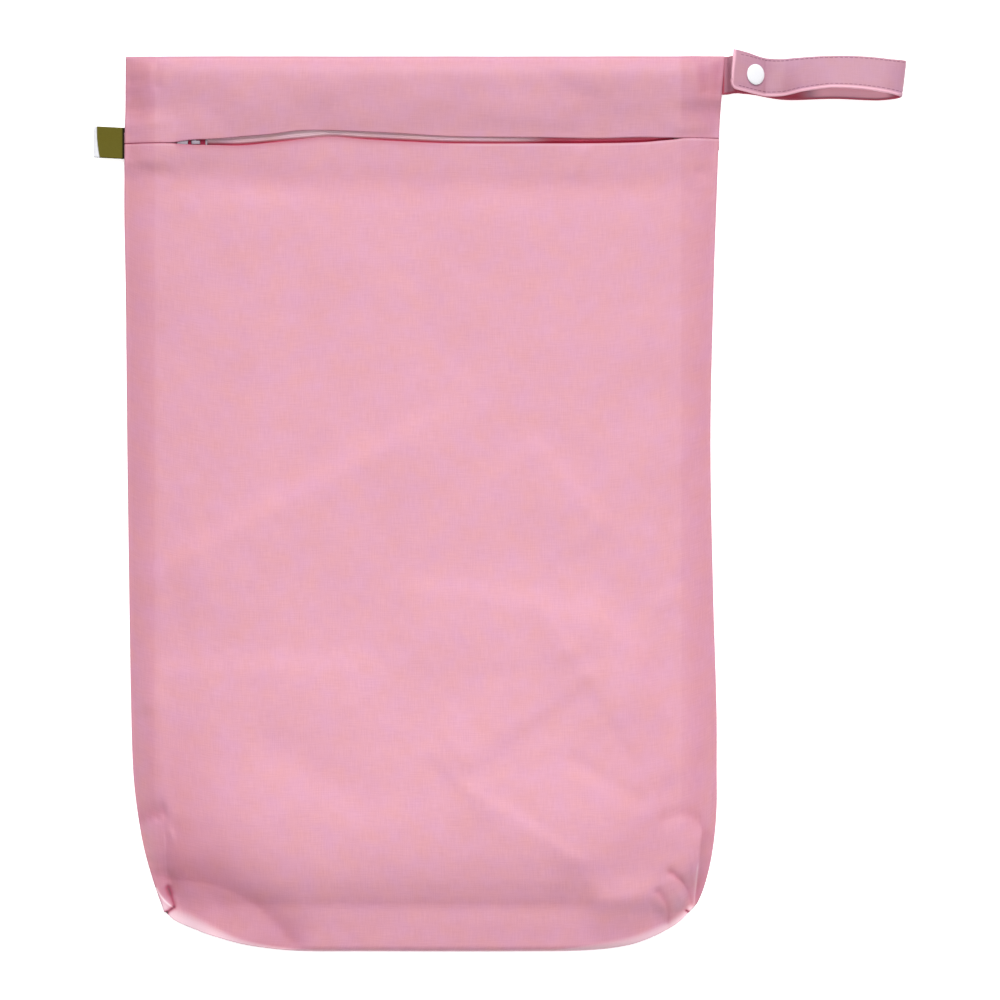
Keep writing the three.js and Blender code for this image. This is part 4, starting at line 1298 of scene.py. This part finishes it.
def blended(tree, factor, start, end):
    """Colour from start to end; each is a colour or a node's output."""
    node = tree.nodes.new("ShaderNodeMix")
    node.data_type = "RGBA"
    tree.links.new(factor, node.inputs[0])
    for socket, colour in ((node.inputs[6], start), (node.inputs[7], end)):
        if isinstance(colour, tuple):
            socket.default_value = (*colour, 1)
        else:
            tree.links.new(colour, socket)
    return node.outputs[2]


def bumped(tree, shader, height, strength, distance):
    relief = add_node(tree, "ShaderNodeBump", Strength=strength, Distance=distance)
    tree.links.new(height, relief.inputs["Height"])
    tree.links.new(relief.outputs["Normal"], shader.inputs["Normal"])


def tinted(colour, tint):
    return tuple(part * share for part, share in zip(colour, tint))


def woven(
    name, colour, light, deep, pale, roughness=0.62, gloss=0.8, sheen=0.1, thread=(0.0006, 0.01), bump=0.00009
):
    """Cloth with threads both ways in colour and relief, a mottle, and its tone turned to deep or pale:
    mostly painted shade and painted highlight, also the label's own pale end band.
    """
    material, tree, shader = new_material(name)
    place = attribute(tree, "weave", "Vector")
    tone = attribute(tree, "tone", "Fac")
    fine, long = thread
    weave = added(tree, noise(tree, place, (fine, long, 1), 2), noise(tree, place, (long, fine, 1), 2), 1)
    mottled = added(tree, weave, noise(tree, place, (MOTTLE_SIZE,) * 3, 3), MOTTLE)
    bright = ranged(tree, mottled, THREAD_RANGE[0], THREAD_RANGE[1] + MOTTLE)
    shimmer = ranged(tree, noise(tree, place, (SHIMMER_SIZE,) * 3, 3), *SHIMMER_RANGE)
    warm = blended(tree, bright, tinted(colour, WARM), tinted(light, WARM))
    cool = blended(tree, bright, tinted(colour, COOL), tinted(light, COOL))
    base = blended(tree, shimmer, warm, cool)
    base = blended(tree, ranged(tree, tone, 0, 1), base, pale)
    base = blended(tree, ranged(tree, tone, 0, -1), base, deep)
    base = blended(tree, ranged(tree, tone, -1, -2), base, tinted(deep, DARKEST_PAINTED_SHADE))
    tree.links.new(base, shader.inputs["Base Color"])
    bumped(tree, shader, weave, WEAVE_BUMP, bump)
    set_inputs(shader, Roughness=roughness, Specular_IOR_Level=gloss)
    set_inputs(shader, Sheen_Weight=sheen, Sheen_Roughness=SHEEN_ROUGHNESS, Sheen_Tint=SHEEN_TINT)
    return material


def moulded(name, colour, roughness, gloss=0.5, coat=0.0):
    """Smooth hard stuff with faint unevenness in its polish and surface."""
    material, tree, shader = new_material(name)
    place = tree.nodes.new("ShaderNodeTexCoord")
    uneven = add_node(tree, "ShaderNodeTexNoise", Scale=UNEVEN_SCALE, Detail=3.0)
    tree.links.new(place.outputs["Object"], uneven.inputs["Vector"])
    low, high = (roughness * share for share in POLISH_RANGE)
    polish = add_node(tree, "ShaderNodeMapRange", To_Min=low, To_Max=high)
    tree.links.new(uneven.outputs["Fac"], polish.inputs["Value"])
    tree.links.new(polish.outputs["Result"], shader.inputs["Roughness"])
    bumped(tree, shader, uneven.outputs["Fac"], UNEVEN_BUMP, UNEVEN_HEIGHT)
    set_inputs(shader, Base_Color=(*colour, 1), Specular_IOR_Level=gloss)
    set_inputs(shader, Coat_Weight=coat, Coat_Roughness=COAT_ROUGHNESS)
    return material


def paint(piece, material):
    piece.data.materials.clear()
    piece.data.materials.append(material)
    return piece


# Cloths: darker and lighter colour of threads and mottle, deep tone and pale tone; on the pinks and the tape
# deep and pale are painted shade and painted highlight, on the olive painted shadow and its own pale end band
CRIMSON = (0.34, 0.035, 0.09)
PAINTED_HIGHLIGHT = (0.85, 0.66, 0.72)
pink_cloth = woven("pink_cloth", (0.552, 0.23, 0.304), (0.638, 0.292, 0.374), CRIMSON, PAINTED_HIGHLIGHT)
# Darker copy of the pink cloth for the top band: painted shade on the band
shaded_band_cloth = woven("shaded_band_cloth", (0.524, 0.218, 0.292), (0.606, 0.277, 0.359), CRIMSON, PAINTED_HIGHLIGHT)
strap_pink = woven(
    "strap_pink", (0.41, 0.182, 0.253), (0.462, 0.222, 0.297), (0.42, 0.025, 0.07), (0.88, 0.47, 0.58)
)
tape_satin = woven(
    "tape_satin", (0.55, 0.305, 0.36), (0.69, 0.415, 0.475), (0.58, 0.035, 0.1), (0.8, 0.62, 0.68),
    roughness=0.5, gloss=0.5, sheen=0.05, thread=(0.0002, 0.02), bump=0.00003,
)
olive = woven(
    "olive_ribbon", (0.1, 0.085, 0.009), (0.132, 0.113, 0.015), (0.008, 0.006, 0.002), (0.72, 0.72, 0.76),
    roughness=0.8, gloss=0.12, sheen=0.01, thread=(0.0003, 0.002),
)

front = front_cloth()
top = top_cloth()
back = back_cloth()
for piece, cloth, node in (
    (front, pink_cloth, "front_panel"),
    (top, shaded_band_cloth, "top_band"),
    (back, pink_cloth, "back_panel"),
):
    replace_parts(paint(piece, cloth), node)

tapes = (zip_tape("zip_tape_upper_weave", 1), zip_tape("zip_tape_lower_weave", -1))
for piece, node in zip(tapes, ("zip_tape_upper", "zip_tape_lower")):
    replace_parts(paint(piece, tape_satin), node)
coil = joined("coil_loops", coil_row(1), coil_row(-1))
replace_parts(paint(coil, moulded("pink_nylon", (0.55, 0.27, 0.35), 0.4)), "zip_coil")
plates, bar, tab = slider()
# The slider's plates are painted dark crimson as the shade seen between its bar and its pull
crimson = moulded("crimson_painted_plate_shade", (0.3, 0.015, 0.05), 0.6, gloss=0.15)
grey = moulded("grey_enamel", (0.32, 0.27, 0.32), 0.5, gloss=0.3)
for piece, enamel, node in (
    (plates, crimson, "zip_slider"),
    (bar, grey, "zip_slider"),
    (tab, grey, "zip_pull"),
):
    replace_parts(paint(piece, enamel), node)

ribbon, strap_length = strap()
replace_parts(paint(ribbon, strap_pink), "strap")
stitches = strap_stitches()
paint(stitches, moulded("thread", (0.25, 0.105, 0.165), 0.7, gloss=0.2))

white_plastic = moulded("white_plastic", (0.85, 0.86, 0.89), 0.25, coat=0.4)
for piece, node in zip(snap(), ("snap_cap", "snap_core", "snap_back_cap")):
    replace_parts(paint(piece, white_plastic), node)

side_label, label_length = label()
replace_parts(paint(side_label, olive), "side_label")

# Stage
FRAME_WIDTH = 0.6
CAMERA_HEIGHT = 2.2
SENSOR = 36.0
FLOOR_SIZE = 12.0
FLOOR_DROP = 0.0003
FLOOR_COLOUR = (0.95, 0.95, 0.95, 1)
FLOOR_GLOW = 0.55
WHITE = (1, 1, 1, 1)
SKY_STRENGTH = 0.18
OVERHEAD_PLACE = (0, -0.12, 1.1)
OVERHEAD_POWER = 5.4
OVERHEAD_SIZE = 0.6
WINDOW_PLACE = (0.15, 1.0, 1.15)
WINDOW_POWER = 3.0
WINDOW_SPREAD = math.radians(40)


def camera():
    data = bpy.data.cameras.new("camera")
    data.sensor_width = SENSOR
    data.lens = SENSOR * CAMERA_HEIGHT / FRAME_WIDTH
    view = placed("camera", data)
    view.location = (0, 0, CAMERA_HEIGHT)
    bpy.context.scene.camera = view


def floor():
    half = FLOOR_SIZE / 2
    corners = [(x * half, y * half, -FLOOR_DROP) for x, y in ((-1, -1), (1, -1), (1, 1), (-1, 1))]
    mesh = bpy.data.meshes.new("floor")
    mesh.from_pydata(corners, [], [(0, 1, 2, 3)])
    material, _, shader = new_material("pale_floor")
    set_inputs(shader, Base_Color=FLOOR_COLOUR, Roughness=0.9, Specular_IOR_Level=0.1)
    set_inputs(shader, Emission_Color=WHITE, Emission_Strength=FLOOR_GLOW)
    mesh.materials.append(material)
    plane = placed("floor", mesh)


def lamp(name, kind, place, power):
    """A light at a place, turned towards the origin."""
    data = bpy.data.lights.new(name, kind)
    data.energy = power
    light = placed(name, data)
    light.location = place
    light.rotation_euler = (-Vector(place)).to_track_quat("-Z", "Y").to_euler()
    return light


def studio():
    world = bpy.data.worlds.new("studio")
    world.use_nodes = True
    set_inputs(world.node_tree.nodes["Background"], Color=WHITE, Strength=SKY_STRENGTH)
    bpy.context.scene.world = world
    overhead = lamp("overhead", "AREA", OVERHEAD_PLACE, OVERHEAD_POWER)
    overhead.data.shape = "SQUARE"
    overhead.data.size = OVERHEAD_SIZE
    overhead.visible_camera = False
    window = lamp("window", "SUN", WINDOW_PLACE, WINDOW_POWER)
    window.data.angle = WINDOW_SPREAD
    bpy.context.scene.view_settings.view_transform = "Standard"


camera()
floor()
studio()
